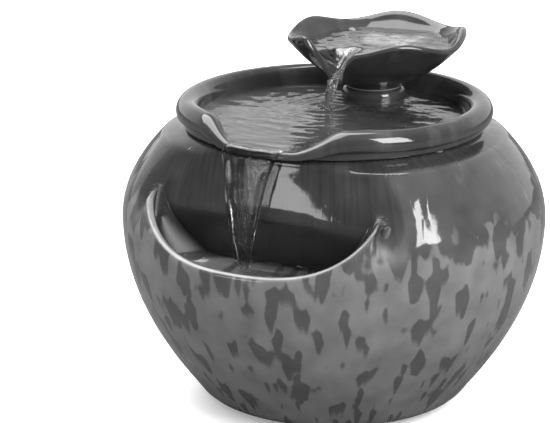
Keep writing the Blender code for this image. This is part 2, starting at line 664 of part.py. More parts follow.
def make_shaft(ceramic, rubber, root):
    """The fixed ceramic pin, held at both ends in rubber bushes."""
    pin = disc_profile(SHAFT_RADIUS, -5 * MM, WELL_END + 2.4 * MM)
    add_along_shaft("impeller_shaft", pin, 16, ceramic, root)
    front = tube_profile(SHAFT_RADIUS + 0.05 * MM, 2.6 * MM, VOLUTE_FRONT + 0.2 * MM, VOLUTE_FRONT + 2.8 * MM)
    add_along_shaft("shaft_bush_front", front, 16, rubber, root)
    rear = tube_profile(SHAFT_RADIUS + 0.05 * MM, 2.6 * MM, WELL_END + 0.1 * MM, WELL_END + 2.6 * MM)
    add_along_shaft("shaft_bush_rear", rear, 16, rubber, root)


def make_rotor(plastic, magnet, spin):
    """The impeller and its sleeve turn on the pin, with the magnet pressed on the sleeve."""
    bore = SHAFT_RADIUS + 0.08 * MM
    sleeve = 2.8 * MM
    hub = [(bore, -2.2 * MM), (3.6 * MM, -2.2 * MM), (3.6 * MM, 0), (11.2 * MM, 5.2 * MM),
           (11.2 * MM, 6.4 * MM), (8.6 * MM, 6.4 * MM), (8.6 * MM, 9.4 * MM), (sleeve, 9.4 * MM),
           (sleeve, 30.5 * MM), (bore, 30.5 * MM)]
    impeller = add_object("impeller", turned_bmesh(hub, 24), plastic, spin, rotation=ALONG_Y)
    for i in range(6):
        low = Vector((2.4, -0.55, -1.4)) * MM
        high = Vector((11.4, 0.55, 6.0)) * MM
        blade = add_object(f"blade_tool_{i + 1}", box_bmesh(low, high), plastic, spin)
        blade.rotation_euler = (-pi / 2, radians(60 * i), 0)
        add_boolean(impeller, blade, "UNION")
    ring = tube_profile(sleeve + GAP, 8.8 * MM, 9.4 * MM + GAP, 30 * MM)
    add_object("rotor_magnet", turned_bmesh(ring, 24), magnet, spin, rotation=ALONG_Y)


def make_cover(plastic, foam, cover):
    """The intake cover slips over the volute, with the sponge behind its slotted front."""
    cup = [(0, COVER_FRONT), (COVER_OUTER - 1.5 * MM, COVER_FRONT), (COVER_OUTER, COVER_FRONT + 1.5 * MM),
           (COVER_OUTER, 4 * MM), (COVER_INNER, 4 * MM), (COVER_INNER, COVER_FRONT + 2 * MM),
           (0, COVER_FRONT + 2 * MM)]
    shell = add_along_shaft("pump_cover", cup, 32, plastic, cover)
    notch = box_bmesh((-8 * MM, -6.2 * MM, SHAFT_HEIGHT + 10 * MM), (8 * MM, 10 * MM, SHAFT_HEIGHT + 25 * MM))
    add_boolean(shell, add_object("spigot_slot_tool", notch, plastic, cover))
    for i in range(5):
        x = (i - 2) * 5 * MM
        low = (x - 1.1 * MM, COVER_FRONT - 5 * MM, SHAFT_HEIGHT - 10 * MM)
        high = (x + 1.1 * MM, COVER_FRONT + 5 * MM, SHAFT_HEIGHT + 10 * MM)
        add_boolean(shell, add_object(f"grille_slot_tool_{i + 1}", box_bmesh(low, high), plastic, cover))
    sponge = disc_profile(COVER_INNER - 0.6 * MM, COVER_FRONT + 2.4 * MM, VOLUTE_FRONT - 1 * MM)
    add_along_shaft("filter_sponge", sponge, 24, foam, cover)


def make_flow_slider(plastic, slider):
    """A plate with a finger tab that slides across the slots to set the flow."""
    back = COVER_FRONT - GAP
    low = Vector((-13 * MM, back - 1.2 * MM, SHAFT_HEIGHT - 5 * MM))
    high = Vector((1 * MM, back, SHAFT_HEIGHT + 5 * MM))
    plate = add_object("flow_slider", box_bmesh(low, high), plastic, slider)
    tab_low = (-8 * MM, back - 4.5 * MM, SHAFT_HEIGHT - 2 * MM)
    tab_high = (-6 * MM, back - 0.6 * MM, SHAFT_HEIGHT + 2 * MM)
    tab = box_bmesh(tab_low, tab_high)
    add_boolean(plate, add_object("tab_tool", tab, plastic, slider), "UNION")


def make_suction_cups(rubber, root):
    """Four cups that hold the pump on the pot's floor."""
    low = INNER_FLOOR + GAP
    top = HOUSING_LOW.z - GAP
    profile = [(0, low + 1.6 * MM), (4 * MM, low + 1.2 * MM), (7.6 * MM, low), (8 * MM, low + 0.5 * MM),
               (4.5 * MM, low + 3 * MM), (3 * MM, low + 3.6 * MM), (3 * MM, top), (0, top)]
    for i, (x, y) in enumerate(((-14, 16), (14, 16), (-14, 36), (14, 36))):
        cup = turned_bmesh(profile, 16)
        add_object(f"suction_cup_{i + 1}", cup, rubber, root, (x * MM, y * MM, 0))


def main():
    for obj in list(bpy.data.objects):
        bpy.data.objects.remove(obj)

    glaze = new_material("Pot glaze", (0.16, 0.16, 0.16), 0.12)
    dark_glaze = new_material("Tray glaze", (0.09, 0.09, 0.09), 0.1)
    leaf_glaze = new_material("Leaf glaze", (0.08, 0.08, 0.08), 0.1)
    plastic = new_material("Pump plastic", (0.02, 0.02, 0.02), 0.45)
    nylon = new_material("Bobbin nylon", (0.6, 0.6, 0.58), 0.5)
    rubber = new_material("Black rubber", (0.03, 0.03, 0.03), 0.7)
    silicone = new_material("Clear silicone", (0.7, 0.7, 0.7), 0.4, alpha=0.6)
    clear = new_material("Clear tube", (0.8, 0.8, 0.8), 0.1, alpha=0.35)
    steel = new_material("Core steel", (0.35, 0.35, 0.36), 0.4, metallic=1)
    copper = new_material("Coil copper", (0.45, 0.2, 0.1), 0.35, metallic=1)
    epoxy = new_material("Potting epoxy", (0.05, 0.05, 0.05), 0.3)
    ceramic = new_material("Shaft ceramic", (0.8, 0.8, 0.78), 0.2)
    magnet = new_material("Rotor ferrite", (0.06, 0.06, 0.06), 0.5)
    foam = new_material("Filter foam", (0.03, 0.03, 0.03), 0.95)

    root = add_empty("fountain", (0, 0, 0))
    tray_lift = add_empty("tray_lift", (0, 0, 0), root)
    leaf_swivel = add_empty("leaf_swivel", (0, NOZZLE_Y, 0), tray_lift)
    impeller_spin = add_empty("impeller_spin", SHAFT_PLACE, root)
    cover_pull = add_empty("cover_pull", (0, 0, 0), root)

    pot = make_pot(glaze, root)
    make_foot_pads(rubber, root)
    make_cord_grommet(pot, rubber, glaze, root)
    make_tray(dark_glaze, tray_lift)
    make_bumpers(silicone, tray_lift)
    make_nozzle(plastic, silicone, tray_lift)
    make_leaf_seal(silicone, leaf_swivel)
    make_leaf(leaf_glaze, leaf_swivel)
    make_tube(clear, root)
    make_housing(plastic, root)
    make_motor(steel, copper, nylon, epoxy, rubber, root)
    make_volute(plastic, rubber, root)
    make_shaft(ceramic, rubber, root)
    make_rotor(plastic, magnet, impeller_spin)
    make_cover(plastic, foam, cover_pull)
    make_flow_slider(plastic, cover_pull)
    make_suction_cups(rubber, root)


main()
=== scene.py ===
"""A glazed tabletop water fountain, running: the pot, the spouted tray and the leaf bowl with their glazes,
the water in and between them, and the pump that lifts it. Metres, +Z up, the spout faces -Y.
An angle here is measured about +Z from the front, positive towards +X."""

import json
from math import atan, atan2, cos, exp, log, pi, radians, sin, sqrt

import bmesh
import bpy
import numpy as np
from mathutils import Matrix, Vector
from mathutils.bvhtree import BVHTree


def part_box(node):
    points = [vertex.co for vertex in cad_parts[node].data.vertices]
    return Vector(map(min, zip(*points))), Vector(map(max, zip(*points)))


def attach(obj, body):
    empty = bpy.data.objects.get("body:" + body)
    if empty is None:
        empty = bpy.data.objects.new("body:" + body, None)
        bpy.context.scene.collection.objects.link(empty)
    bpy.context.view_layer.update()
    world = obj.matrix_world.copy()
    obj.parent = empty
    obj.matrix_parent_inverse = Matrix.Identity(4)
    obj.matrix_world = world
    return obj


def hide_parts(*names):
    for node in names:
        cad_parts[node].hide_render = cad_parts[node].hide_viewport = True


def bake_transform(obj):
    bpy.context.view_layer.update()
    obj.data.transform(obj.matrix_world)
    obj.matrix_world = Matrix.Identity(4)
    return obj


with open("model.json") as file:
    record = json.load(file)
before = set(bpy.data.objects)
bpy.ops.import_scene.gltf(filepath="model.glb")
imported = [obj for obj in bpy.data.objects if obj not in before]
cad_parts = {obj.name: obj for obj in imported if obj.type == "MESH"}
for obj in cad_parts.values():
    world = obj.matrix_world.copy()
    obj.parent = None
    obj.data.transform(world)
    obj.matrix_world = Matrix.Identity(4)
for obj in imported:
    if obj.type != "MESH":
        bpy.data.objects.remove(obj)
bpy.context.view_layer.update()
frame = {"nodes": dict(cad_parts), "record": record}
MM = 0.001

# Camera: a long lens to the right of the spout and a little above the rim. It is turned so that the pot
# stands right of the middle.
VIEW_AZIMUTH = radians(26.5)
VIEW_ELEVATION = radians(16.5)
VIEW_DISTANCE = 1.3
FOCAL_LENGTH = 163.6
VIEW_CENTRE = Vector((0, 0, 95 * MM))
VIEW_RIGHT = Vector((cos(VIEW_AZIMUTH), sin(VIEW_AZIMUTH), 0))
AIM_LEFT = 30.5 * MM
AIM_UP = 2.5 * MM


def show(name, data):
    """Puts a mesh, a light or a camera into the scene as an object."""
    obj = bpy.data.objects.new(name, data)
    bpy.context.scene.collection.objects.link(obj)
    return obj


def towards(azimuth, elevation):
    """A direction from the pot. The azimuth is an angle from the front."""
    return Vector((sin(azimuth) * cos(elevation), -cos(azimuth) * cos(elevation), sin(elevation)))


lens = bpy.data.cameras.new("Camera")
lens.lens = FOCAL_LENGTH
lens.clip_start = 0.05
camera = show("Camera", lens)
camera.location = VIEW_CENTRE + VIEW_DISTANCE * towards(VIEW_AZIMUTH, VIEW_ELEVATION)
aim = VIEW_CENTRE - VIEW_RIGHT * AIM_LEFT + Vector((0, 0, AIM_UP))
camera.rotation_euler = (aim - camera.location).to_track_quat("-Z", "Y").to_euler()
bpy.context.scene.camera = camera
bpy.context.scene.view_settings.view_transform = "Standard"


# Studio: a pale table top that runs to the horizon, in a dim room with one bright wall behind. A softbox
# stands at the right, a large one hangs overhead to the left, and a small lit card stands in front.
def feed(tree, socket, value):
    """Links another node's socket to an input, or sets the input to a plain value."""
    if isinstance(value, bpy.types.NodeSocket):
        tree.links.new(value, socket)
    else:
        socket.default_value = value


def put(tree, kind, **values):
    """Adds a node. A value sets the property or feeds the input of its name."""
    node = tree.nodes.new(kind)
    for name, value in values.items():
        if name[0].islower():
            setattr(node, name, value)
        else:
            feed(tree, node.inputs[name.replace("_", " ")], value)
    return node


def noise(tree, place, scale, detail, roughness=0.5):
    """Cloudy noise with this many blobs to the metre."""
    node = put(tree, "ShaderNodeTexNoise", Vector=place, Scale=scale, Detail=detail, Roughness=roughness)
    return node.outputs["Fac"]


def on_piece(tree):
    """Where a point lies in the piece's own space."""
    return put(tree, "ShaderNodeTexCoord").outputs["Object"]


def calc(tree, operation, *operands):
    """Adds a math node and returns its result."""
    node = put(tree, "ShaderNodeMath", operation=operation)
    for socket, value in zip(node.inputs, operands):
        feed(tree, socket, value)
    return node.outputs[0]


def plus(tree, total, *others):
    for other in others:
        total = calc(tree, "ADD", total, other)
    return total


def times(tree, product, *others):
    for other in others:
        product = calc(tree, "MULTIPLY", product, other)
    return product


def minus(tree, whole, part):
    return calc(tree, "SUBTRACT", whole, part)


def from_axis(tree, x, y):
    """The distance of a point from an upright axis."""
    return calc(tree, "SQRT", plus(tree, times(tree, x, x), times(tree, y, y)))


def ease(tree, value, low, high):
    """0 below low, 1 above high and a smooth rise between them."""
    node = put(tree, "ShaderNodeMapRange", interpolation_type="SMOOTHSTEP",
               Value=value, From_Min=low, From_Max=high)
    return node.outputs["Result"]


def between(tree, share, first, second):
    """The first value at share 0, the second at share 1."""
    node = put(tree, "ShaderNodeMapRange", Value=share, To_Min=first, To_Max=second)
    return node.outputs["Result"]


def new_finish(name, **values):
    """A material with a Principled shader, its tree, and the shader for what varies over the surface."""
    material = bpy.data.materials.new(name)
    material.use_nodes = True
    tree = material.node_tree
    shader = tree.nodes["Principled BSDF"]
    for label, value in values.items():
        shader.inputs[label.replace("_", " ")].default_value = value
    return material, tree, shader


def coat(tree, shader, colour, roughness, height, strength, depth):
    """Gives a finish's shader its colour, its roughness and its relief."""
    tree.links.new(colour, shader.inputs["Base Color"])
    tree.links.new(roughness, shader.inputs["Roughness"])
    bump = put(tree, "ShaderNodeBump", Strength=strength, Distance=depth, Height=height)
    tree.links.new(bump.outputs[0], shader.inputs["Normal"])


ROOM_LIGHT = 0.12
WALL_LIGHT = 1.0
CEILING_LIGHT = 0.3
FILL_LIGHT = 1.4
BACKGROUND = 1.05
PAPER_MIRRORED = 0.15
PAPER_GLOW = 0.2


def room_light(tree, direction):
    """Radiance of the dark room, with its bright wall behind the table and its dim ceiling."""
    flat = Vector((-sin(VIEW_AZIMUTH), cos(VIEW_AZIMUTH), 0))
    facing = put(tree, "ShaderNodeVectorMath", operation="DOT_PRODUCT")
    tree.links.new(direction, facing.inputs[0])
    facing.inputs[1].default_value = flat
    height = put(tree, "ShaderNodeSeparateXYZ", Vector=direction).outputs["Z"]
    back = ease(tree, facing.outputs["Value"], 0.0, 0.75)
    low = minus(tree, 1, ease(tree, height, 0.35, 0.85))
    above = times(tree, ease(tree, height, 0.55, 0.95), CEILING_LIGHT)
    return plus(tree, times(tree, back, low, WALL_LIGHT), above, ROOM_LIGHT)


def backdrop(tree, colour, strength):
    return put(tree, "ShaderNodeBackground", Color=colour, Strength=strength).outputs[0]


def either(tree, share, first, second):
    """The first shader at share 0, the second at share 1."""
    node = put(tree, "ShaderNodeMixShader", Fac=share)
    tree.links.new(first, node.inputs[1])
    tree.links.new(second, node.inputs[2])
    return node.outputs[0]


# The camera sees plain white behind the pot. What the glaze mirrors is the room, and an even white light
# stands for all that its walls would scatter back
WHITE = (1, 1, 1, 1)
world = bpy.data.worlds.new("Studio")
bpy.context.scene.world = world
world.use_nodes = True
world_tree = world.node_tree
world_tree.nodes.clear()
sky = put(world_tree, "ShaderNodeTexCoord").outputs["Generated"]
ray = put(world_tree, "ShaderNodeLightPath").outputs
mirrored = backdrop(world_tree, room_light(world_tree, sky), 1.0)
unseen = either(world_tree, ray["Is Diffuse Ray"], mirrored, backdrop(world_tree, WHITE, FILL_LIGHT))
surroundings = either(world_tree, ray["Is Camera Ray"], unseen, backdrop(world_tree, WHITE, BACKGROUND))
put(world_tree, "ShaderNodeOutputWorld", Surface=surroundings)

paper, paper_tree, paper_shader = new_finish("Table paper", Roughness=0.7, Specular_IOR_Level=0.2)
paper_grain = noise(paper_tree, on_piece(paper_tree), 60.0, 4.0)
# The paper is white to the camera only. To all other rays it is dark, so that the glaze mirrors a dark table
seen_directly = put(paper_tree, "ShaderNodeLightPath").outputs["Is Camera Ray"]
paper_white = between(paper_tree, paper_grain, 0.86, 0.9)
paper_tone = times(paper_tree, paper_white, between(paper_tree, seen_directly, PAPER_MIRRORED, 1.0))
paper_tree.links.new(paper_tone, paper_shader.inputs["Base Color"])
paper_shader.inputs["Emission Color"].default_value = WHITE
paper_glow = times(paper_tree, seen_directly, PAPER_GLOW)
paper_tree.links.new(paper_glow, paper_shader.inputs["Emission Strength"])
table_mesh = bmesh.new()
bmesh.ops.create_grid(table_mesh, x_segments=2, y_segments=2, size=6)
table_data = bpy.data.meshes.new("table_top")
table_mesh.to_mesh(table_data)
table_mesh.free()
table_data.materials.append(paper)
table_top = show("table_top", table_data)


def add_softbox(name, azimuth, elevation, distance, size, radiance):
    """A rectangular light that faces the pot's middle."""
    light = bpy.data.lights.new(name, "AREA")
    light.shape = "RECTANGLE"
    light.size, light.size_y = size
    light.energy = radiance * pi * size[0] * size[1]
    lamp = show(name, light)
    way = towards(azimuth, elevation)
    lamp.location = VIEW_CENTRE + way * distance
    lamp.rotation_euler = way.to_track_quat("Z", "Y").to_euler()


add_softbox("Right softbox", radians(71.5), radians(29), 1.2, (0.48, 0.8), 15)
add_softbox("Overhead softbox", radians(-100), radians(68), 1.2, (1.1, 1.1), 7)
add_softbox("Front card", radians(-17), radians(1), 0.4, (0.16, 0.055), 6.5)


# Pot: stoneware, thrown round, then dented in front into a crescent pocket with a rolled lip. A light
# glaze all over, a dark one poured over the dent and over the shoulder, from where it has run down.
pot_low, pot_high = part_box("pot_body")
BELLY_RADIUS = (pot_high.x - pot_low.x) / 2
BELLY_HEIGHT = 98 * MM
LOWER_BULGE = 206 * MM
UPPER_BULGE = 87 * MM
WALL = 5.2 * MM
BASE_HEIGHT = pot_low.z
BASE_RADIUS = 58 * MM
FOOT_RING = (44 * MM, 46 * MM)
INNER_FLOOR = 8 * MM
LIP_LOW = 94.2 * MM
LIP_RISE = 27 * MM
LIP_SPAN = radians(39)
LIP_TOP = 121 * MM
LIP_ROLL = 2.5 * MM
POCKET_DEPTH = 19 * MM
POCKET_FULL = radians(24)
POCKET_END = radians(44)
DENT_SPAN = radians(47)
DENT_FOOT_RADIUS = 66 * MM
DENT_RADIUS = 79.5 * MM
DENT_FOOT = 82 * MM
DENT_BULGE = 118 * MM
DENT_EDGE = 7 * MM
DENT_LEAN = 0.09
FRONT_EASE = 18 * MM
CREASE = 38
NECK_TOP = pot_high.z
NECK_RADIUS = 78.6 * MM
NECK_BORE = 68.6 * MM
SHOULDER_TOP = 140.5 * MM
DRAIN_LOW = 78.5 * MM
DRAIN_SIZE = (8 * MM, 6.5 * MM)
DRAIN_ANGLES = (radians(-13), 0, radians(13))
CORD_RADIUS = 6 * MM
POT_TURN_STEP = 1.5
TIP_TURN_STEP = 0.5
TIP_TURNS = (31, 47)


def smooth_step(low, high, value):
    """0 below low, 1 above high and a smooth rise between them. A low above high turns it round."""
    share = min(max((value - low) / (high - low), 0), 1)
    return share * share * (3 - 2 * share)


def mix(first, second, share):
    """The first point at share 0, the second at share 1."""
    return tuple(a + (b - a) * share for a, b in zip(first, second))


def smooth_min(first, second, width):
    """The smaller of two values, rounded over where they cross."""
    share = min(max(0.5 + 0.5 * (second - first) / width, 0), 1)
    return second + (first - second) * share - width * share * (1 - share) / 2


def spread(low, high, count):
    """Even steps from low to high."""
    return [low + (high - low) * i / (count - 1) for i in range(count)]


def outer_radius(z):
    """The thrown wall before it is dented."""
    bulge = LOWER_BULGE if z < BELLY_HEIGHT else UPPER_BULGE
    return BELLY_RADIUS - (z - BELLY_HEIGHT) ** 2 / bulge


def lip_height(angle):
    """The top of the pocket's lip, which climbs to both ends like a smile."""
    return min(LIP_LOW + LIP_RISE * (abs(angle) / LIP_SPAN) ** 3.2, LIP_TOP)


def dent_radius(angle, z):
    """The wall behind the pocket: barrel-shaped in the middle, running out into the shoulder."""
    outer = outer_radius(z)
    middle = DENT_FOOT_RADIUS + (DENT_RADIUS - DENT_FOOT_RADIUS) * smooth_step(DENT_FOOT, DENT_BULGE, z)
    middle -= DENT_LEAN * max(z - DENT_BULGE - 1 * MM, 0)
    reach = log(cos(min(abs(angle), radians(75)))) / log(cos(DENT_SPAN))
    return smooth_min(outer, middle * (outer / middle) ** reach, DENT_EDGE)


def pocket_share(angle):
    """1 along the pocket, falling to 0 where it runs out."""
    return 1 - smooth_step(POCKET_FULL, POCKET_END, abs(angle))


def pocket_closing(angle):
    """1 where the pocket is open, falling to 0 at its pinched ends."""
    return smooth_step(0, 0.35, pocket_share(angle))


def front_radius(angle, z):
    """The outer wall below the lip. Past the pocket's ends it eases into the dent above it."""
    lip = lip_height(angle)
    ease_in = (1 - pocket_closing(angle)) * smooth_step(lip - FRONT_EASE, lip, z)
    return outer_radius(z) + (dent_radius(angle, z) - outer_radius(z)) * ease_in


def pocket_floor(angle):
    """Height of the pocket's floor, which meets the lip at both ends."""
    return lip_height(angle) - POCKET_DEPTH * pocket_share(angle)


def pocket_path(angle):
    """From the lip over its roll and down into the pocket, across its floor to the foot of the dent."""
    lip = lip_height(angle)
    floor = pocket_floor(angle)
    centre = outer_radius(lip) - LIP_ROLL
    inside = centre - LIP_ROLL
    foot = dent_radius(angle, floor + 4 * MM)
    start = (front_radius(angle, lip - LIP_ROLL), lip - LIP_ROLL)
    end = (dent_radius(angle, lip + 2 * MM), lip + 2 * MM)
    pocket = []
    for turn in range(30, 181, 30):
        over = radians(turn)
        pocket.append((centre + LIP_ROLL * cos(over), lip - LIP_ROLL + LIP_ROLL * sin(over)))
    pocket += [(inside, (lip + floor) / 2), (inside - 0.5 * MM, floor + 4 * MM), (inside - 4 * MM, floor),
               (foot + 4 * MM, floor), (foot, floor + 4 * MM)]
    plain = [mix(start, end, (i + 1) / (len(pocket) + 1)) for i in range(len(pocket))]
    return [mix(flat, deep, pocket_closing(angle)) for flat, deep in zip(plain, pocket)]


def neck_path(angle):
    """From the shoulder through a hollow to the flat seat, and over its edge into the bore."""
    shoulder = dent_radius(angle, SHOULDER_TOP)
    edge = min(NECK_RADIUS, shoulder - 0.4 * MM)
    hollow = shoulder - edge
    return [(edge + 0.6 * hollow, SHOULDER_TOP + 1.4 * MM), (edge + 0.25 * hollow, SHOULDER_TOP + 2.4 * MM),
            (edge, NECK_TOP - 0.6 * MM), (edge - 0.8 * MM, NECK_TOP), (NECK_BORE + 1.2 * MM, NECK_TOP),
            (NECK_BORE, NECK_TOP - 1.2 * MM)]


def pot_outline(angle):
    """One radial section, as (radius, z) points from the axis under the base round the outside, over the
    neck and down the inside to the axis again."""
    lip = lip_height(angle)
    closing = pocket_closing(angle)
    floor = pocket_floor(angle)
    inner_ring, outer_ring = FOOT_RING
    outline = [(0, BASE_HEIGHT + 2 * MM), (inner_ring, BASE_HEIGHT + 2 * MM), (outer_ring, BASE_HEIGHT),
               (BASE_RADIUS, BASE_HEIGHT), (62.5 * MM, BASE_HEIGHT + 0.9 * MM)]
    outline += [(front_radius(angle, z), z) for z in spread(BASE_HEIGHT + 3 * MM, lip - LIP_ROLL, 14)]
    outline += pocket_path(angle)
    dent_low = lip + 2 * MM + (floor + 5 * MM - lip) * closing
    outline += [(dent_radius(angle, z), z) for z in spread(dent_low, SHOULDER_TOP, 12)]
    outline += neck_path(angle)
    under = floor - WALL
    shelf = outer_radius(under) - WALL
    inner_low = lip + (under - lip) * closing
    inside = [(NECK_BORE, SHOULDER_TOP - 1.5 * MM)]
    for z in spread(SHOULDER_TOP - 1.5 * MM, inner_low, 9)[1:]:
        inside.append((dent_radius(angle, max(z, floor)) - WALL, z))
    step_in = inside[-1]
    wall_start = under - 5 * MM + (lip - 3 * MM - under) * (1 - closing)
    for part in (1, 2):
        deep = (step_in[0] + (shelf - step_in[0]) * part / 2.3, under)
        z = step_in[1] + (wall_start - step_in[1]) * part / 3
        inside.append(mix((outer_radius(z) - WALL, z), deep, closing))
    inside += [(outer_radius(z) - WALL, z) for z in spread(wall_start, INNER_FLOOR + 7 * MM, 8)]
    return outline + inside + [(62 * MM, INNER_FLOOR + 1 * MM), (55 * MM, INNER_FLOOR), (0, INNER_FLOOR)]


def curve_through(outlines, per_span):
    """Cubic curves through the points of every outline, with more points between them."""
    points = np.array(outlines, float)
    steps = np.diff(points, axis=1)
    length = np.maximum(np.linalg.norm(steps[..., :2], axis=2, keepdims=True), 1e-6)
    slopes = steps / length
    tangents = np.empty_like(points)
    tangents[:, 0], tangents[:, -1] = slopes[:, 0], slopes[:, -1]
    before, after = length[:, :-1], length[:, 1:]
    tangents[:, 1:-1] = (slopes[:, :-1] * after + slopes[:, 1:] * before) / (before + after)
    rows = []
    for i in range(per_span):
        t = i / per_span
        start, finish = 2 * t ** 3 - 3 * t ** 2 + 1, 3 * t ** 2 - 2 * t ** 3
        leave, arrive = t ** 3 - 2 * t ** 2 + t, t ** 3 - t ** 2
        rows.append(start * points[:, :-1] + finish * points[:, 1:]
                    + length * (leave * tangents[:, :-1] + arrive * tangents[:, 1:]))
    fine = np.stack(rows, axis=2).reshape(len(points), -1, points.shape[2])
    return np.concatenate([fine, points[:, -1:]], axis=1)


def turned_points(outlines, angles, centre=(0, 0)):
    """The (radius, z) points of each outline, turned to its angle about an upright axis."""
    angles = np.array(angles)[:, None]
    x = outlines[..., 0] * np.sin(angles) + centre[0]
    y = -outlines[..., 0] * np.cos(angles) + centre[1]
    return np.stack([x, y, outlines[..., 1]], axis=2)


def add_piece(name, vertices, faces, material):
    """A mesh object with its faces turned outwards, shaded smooth but for its sharp edges."""
    mesh = bpy.data.meshes.new(name)
    mesh.from_pydata(vertices, [], faces)
    bm = bmesh.new()
    bm.from_mesh(mesh)
    bmesh.ops.remove_doubles(bm, verts=bm.verts, dist=1e-6)
    bmesh.ops.dissolve_degenerate(bm, edges=bm.edges, dist=1e-7)
    bmesh.ops.recalc_face_normals(bm, faces=bm.faces)
    bm.to_mesh(mesh)
    bm.free()
    mesh.materials.append(material)
    smooth_shade(mesh)
    return show(name, mesh)


def smooth_shade(mesh):
    mesh.shade_smooth()
    mesh.set_sharp_from_angle(angle=radians(CREASE))


def settle(obj):
    """Turns a piece and its modifiers into one plain mesh."""
    graph = bpy.context.evaluated_depsgraph_get()
    made = bpy.data.meshes.new_from_object(obj.evaluated_get(graph))
    obj.modifiers.clear()
    obj.data = made


def ring_faces(rings, size, closed_rings=True, closed_way=True):
    """Faces between a row of equal rings of points, counted row by row."""
    faces = []
    for i in range(rings if closed_way else rings - 1):
        j = (i + 1) % rings
        for k in range(size if closed_rings else size - 1):
            m = (k + 1) % size
            faces.append((i * size + k, j * size + k, j * size + m, i * size + m))
    return faces


def turned_piece(name, points, material):
    """A closed body from turned sections that each start and end on the axis."""
    sections, size = points.shape[:2]
    faces = ring_faces(sections, size, closed_rings=False)
    return add_piece(name, points.reshape(-1, 3).tolist(), faces, material)


def new_group(name, inputs, outputs):
    """A shader node group with number inputs, and outputs given as (name, socket type)."""
    group = bpy.data.node_groups.new(name, "ShaderNodeTree")
    for label, value in inputs:
        group.interface.new_socket(label, in_out="INPUT", socket_type="NodeSocketFloat").default_value = value
    for label, kind in outputs:
        group.interface.new_socket(label, in_out="OUTPUT", socket_type=kind)
    return group, put(group, "NodeGroupInput"), put(group, "NodeGroupOutput")


def place_group(tree, group, **values):
    """Adds the group to a material with its own values, and returns its outputs."""
    return put(tree, "ShaderNodeGroup", node_tree=group, **values).outputs


def glaze_group():
    """What every glaze here has: pools of thicker glass, faint specks, and a skin that isn't quite flat."""
    inputs = (("Pool size", 40.0), ("Pooling", 0.2), ("Specks", 0.15))
    outputs = (("Tone", "NodeSocketFloat"), ("Height", "NodeSocketFloat"), ("Roughness", "NodeSocketFloat"))
    group, given, result = new_group("Glaze skin", inputs, outputs)
    place = on_piece(group)
    pools = noise(group, place, given.outputs["Pool size"], 2.0, 0.45)
    peel = noise(group, place, 420.0, 1.0)
    specks = put(group, "ShaderNodeTexVoronoi", Vector=place, Scale=650.0).outputs["Distance"]
    dots = minus(group, 1, ease(group, specks, 0.05, 0.22))
    swing = times(group, minus(group, pools, 0.5), given.outputs["Pooling"])
    tone = plus(group, 1, times(group, swing, 4))
    tone = minus(group, tone, times(group, dots, given.outputs["Specks"]))
    group.links.new(tone, result.inputs["Tone"])
    group.links.new(plus(group, pools, times(group, peel, 0.06)), result.inputs["Height"])
    group.links.new(between(group, peel, 0.05, 0.11), result.inputs["Roughness"])
    return group


def wall_group():
    """Where a point lies on the pot's wall: its place unrolled down the wall, and how far it is dented in."""
    outputs = (("Unrolled", "NodeSocketVector"), ("Dent", "NodeSocketFloat"), ("Z", "NodeSocketFloat"))
    group, given, result = new_group("Place on the wall", (), outputs)
    place = on_piece(group)
    axes = put(group, "ShaderNodeSeparateXYZ", Vector=place).outputs
    radius = calc(group, "MAXIMUM", from_axis(group, axes["X"], axes["Y"]), 1 * MM)
    up = minus(group, axes["Z"], BELLY_HEIGHT)
    square = times(group, up, up)
    # The wall leans in as it leaves the belly, so its length grows faster than its height
    lean = plus(group, 1, times(group, square, 4 / LOWER_BULGE ** 2 / 6))
    across = calc(group, "DIVIDE", BELLY_RADIUS, radius)
    unrolled = put(group, "ShaderNodeCombineXYZ", X=times(group, axes["X"], across),
                   Y=times(group, axes["Y"], across), Z=times(group, up, lean))
    above = calc(group, "GREATER_THAN", up, 0)
    bulge = between(group, above, LOWER_BULGE, UPPER_BULGE)
    round_wall = minus(group, BELLY_RADIUS, calc(group, "DIVIDE", square, bulge))
    group.links.new(unrolled.outputs[0], result.inputs["Unrolled"])
    group.links.new(minus(group, round_wall, radius), result.inputs["Dent"])
    group.links.new(axes["Z"], result.inputs["Z"])
    return group


def run_down(tree, unrolled, size, stretch, length, steps, thinning):
    """Blots of glaze that have each run down the wall and thinned out to a point."""
    blots = None
    for i in range(steps):
        lifted = put(tree, "ShaderNodeMapping", Vector=unrolled)
        lifted.inputs["Location"].default_value = (0.11, 0.07, i * length / steps * stretch)
        lifted.inputs["Scale"].default_value = (1, 1, stretch)
        cloud = noise(tree, lifted.outputs[0], 1 / size, 1.5, 0.35)
        thinned = minus(tree, cloud, i * thinning)
        blots = thinned if blots is None else calc(tree, "MAXIMUM", blots, thinned)
    return blots


GLAZE = glaze_group()
WALL_PLACE = wall_group()
LIGHT_GLAZE = 0.138
SPOT_GLAZE = 0.06
SHOULDER_GLAZE = 0.046
DENT_GLAZE = 0.028
# Painted shade: the darker tone down in the pocket
POCKET_SHADE_TONE = 0.012
# A painted highlight: the pale tone along the top of the lip's roll
LIP_HIGHLIGHT_TONE = 0.15
BARE_CLAY = 0.32
BARE_ROUGHNESS = 0.85
MATT_GLAZE = 0.42
GLAZE_IOR = 1.52


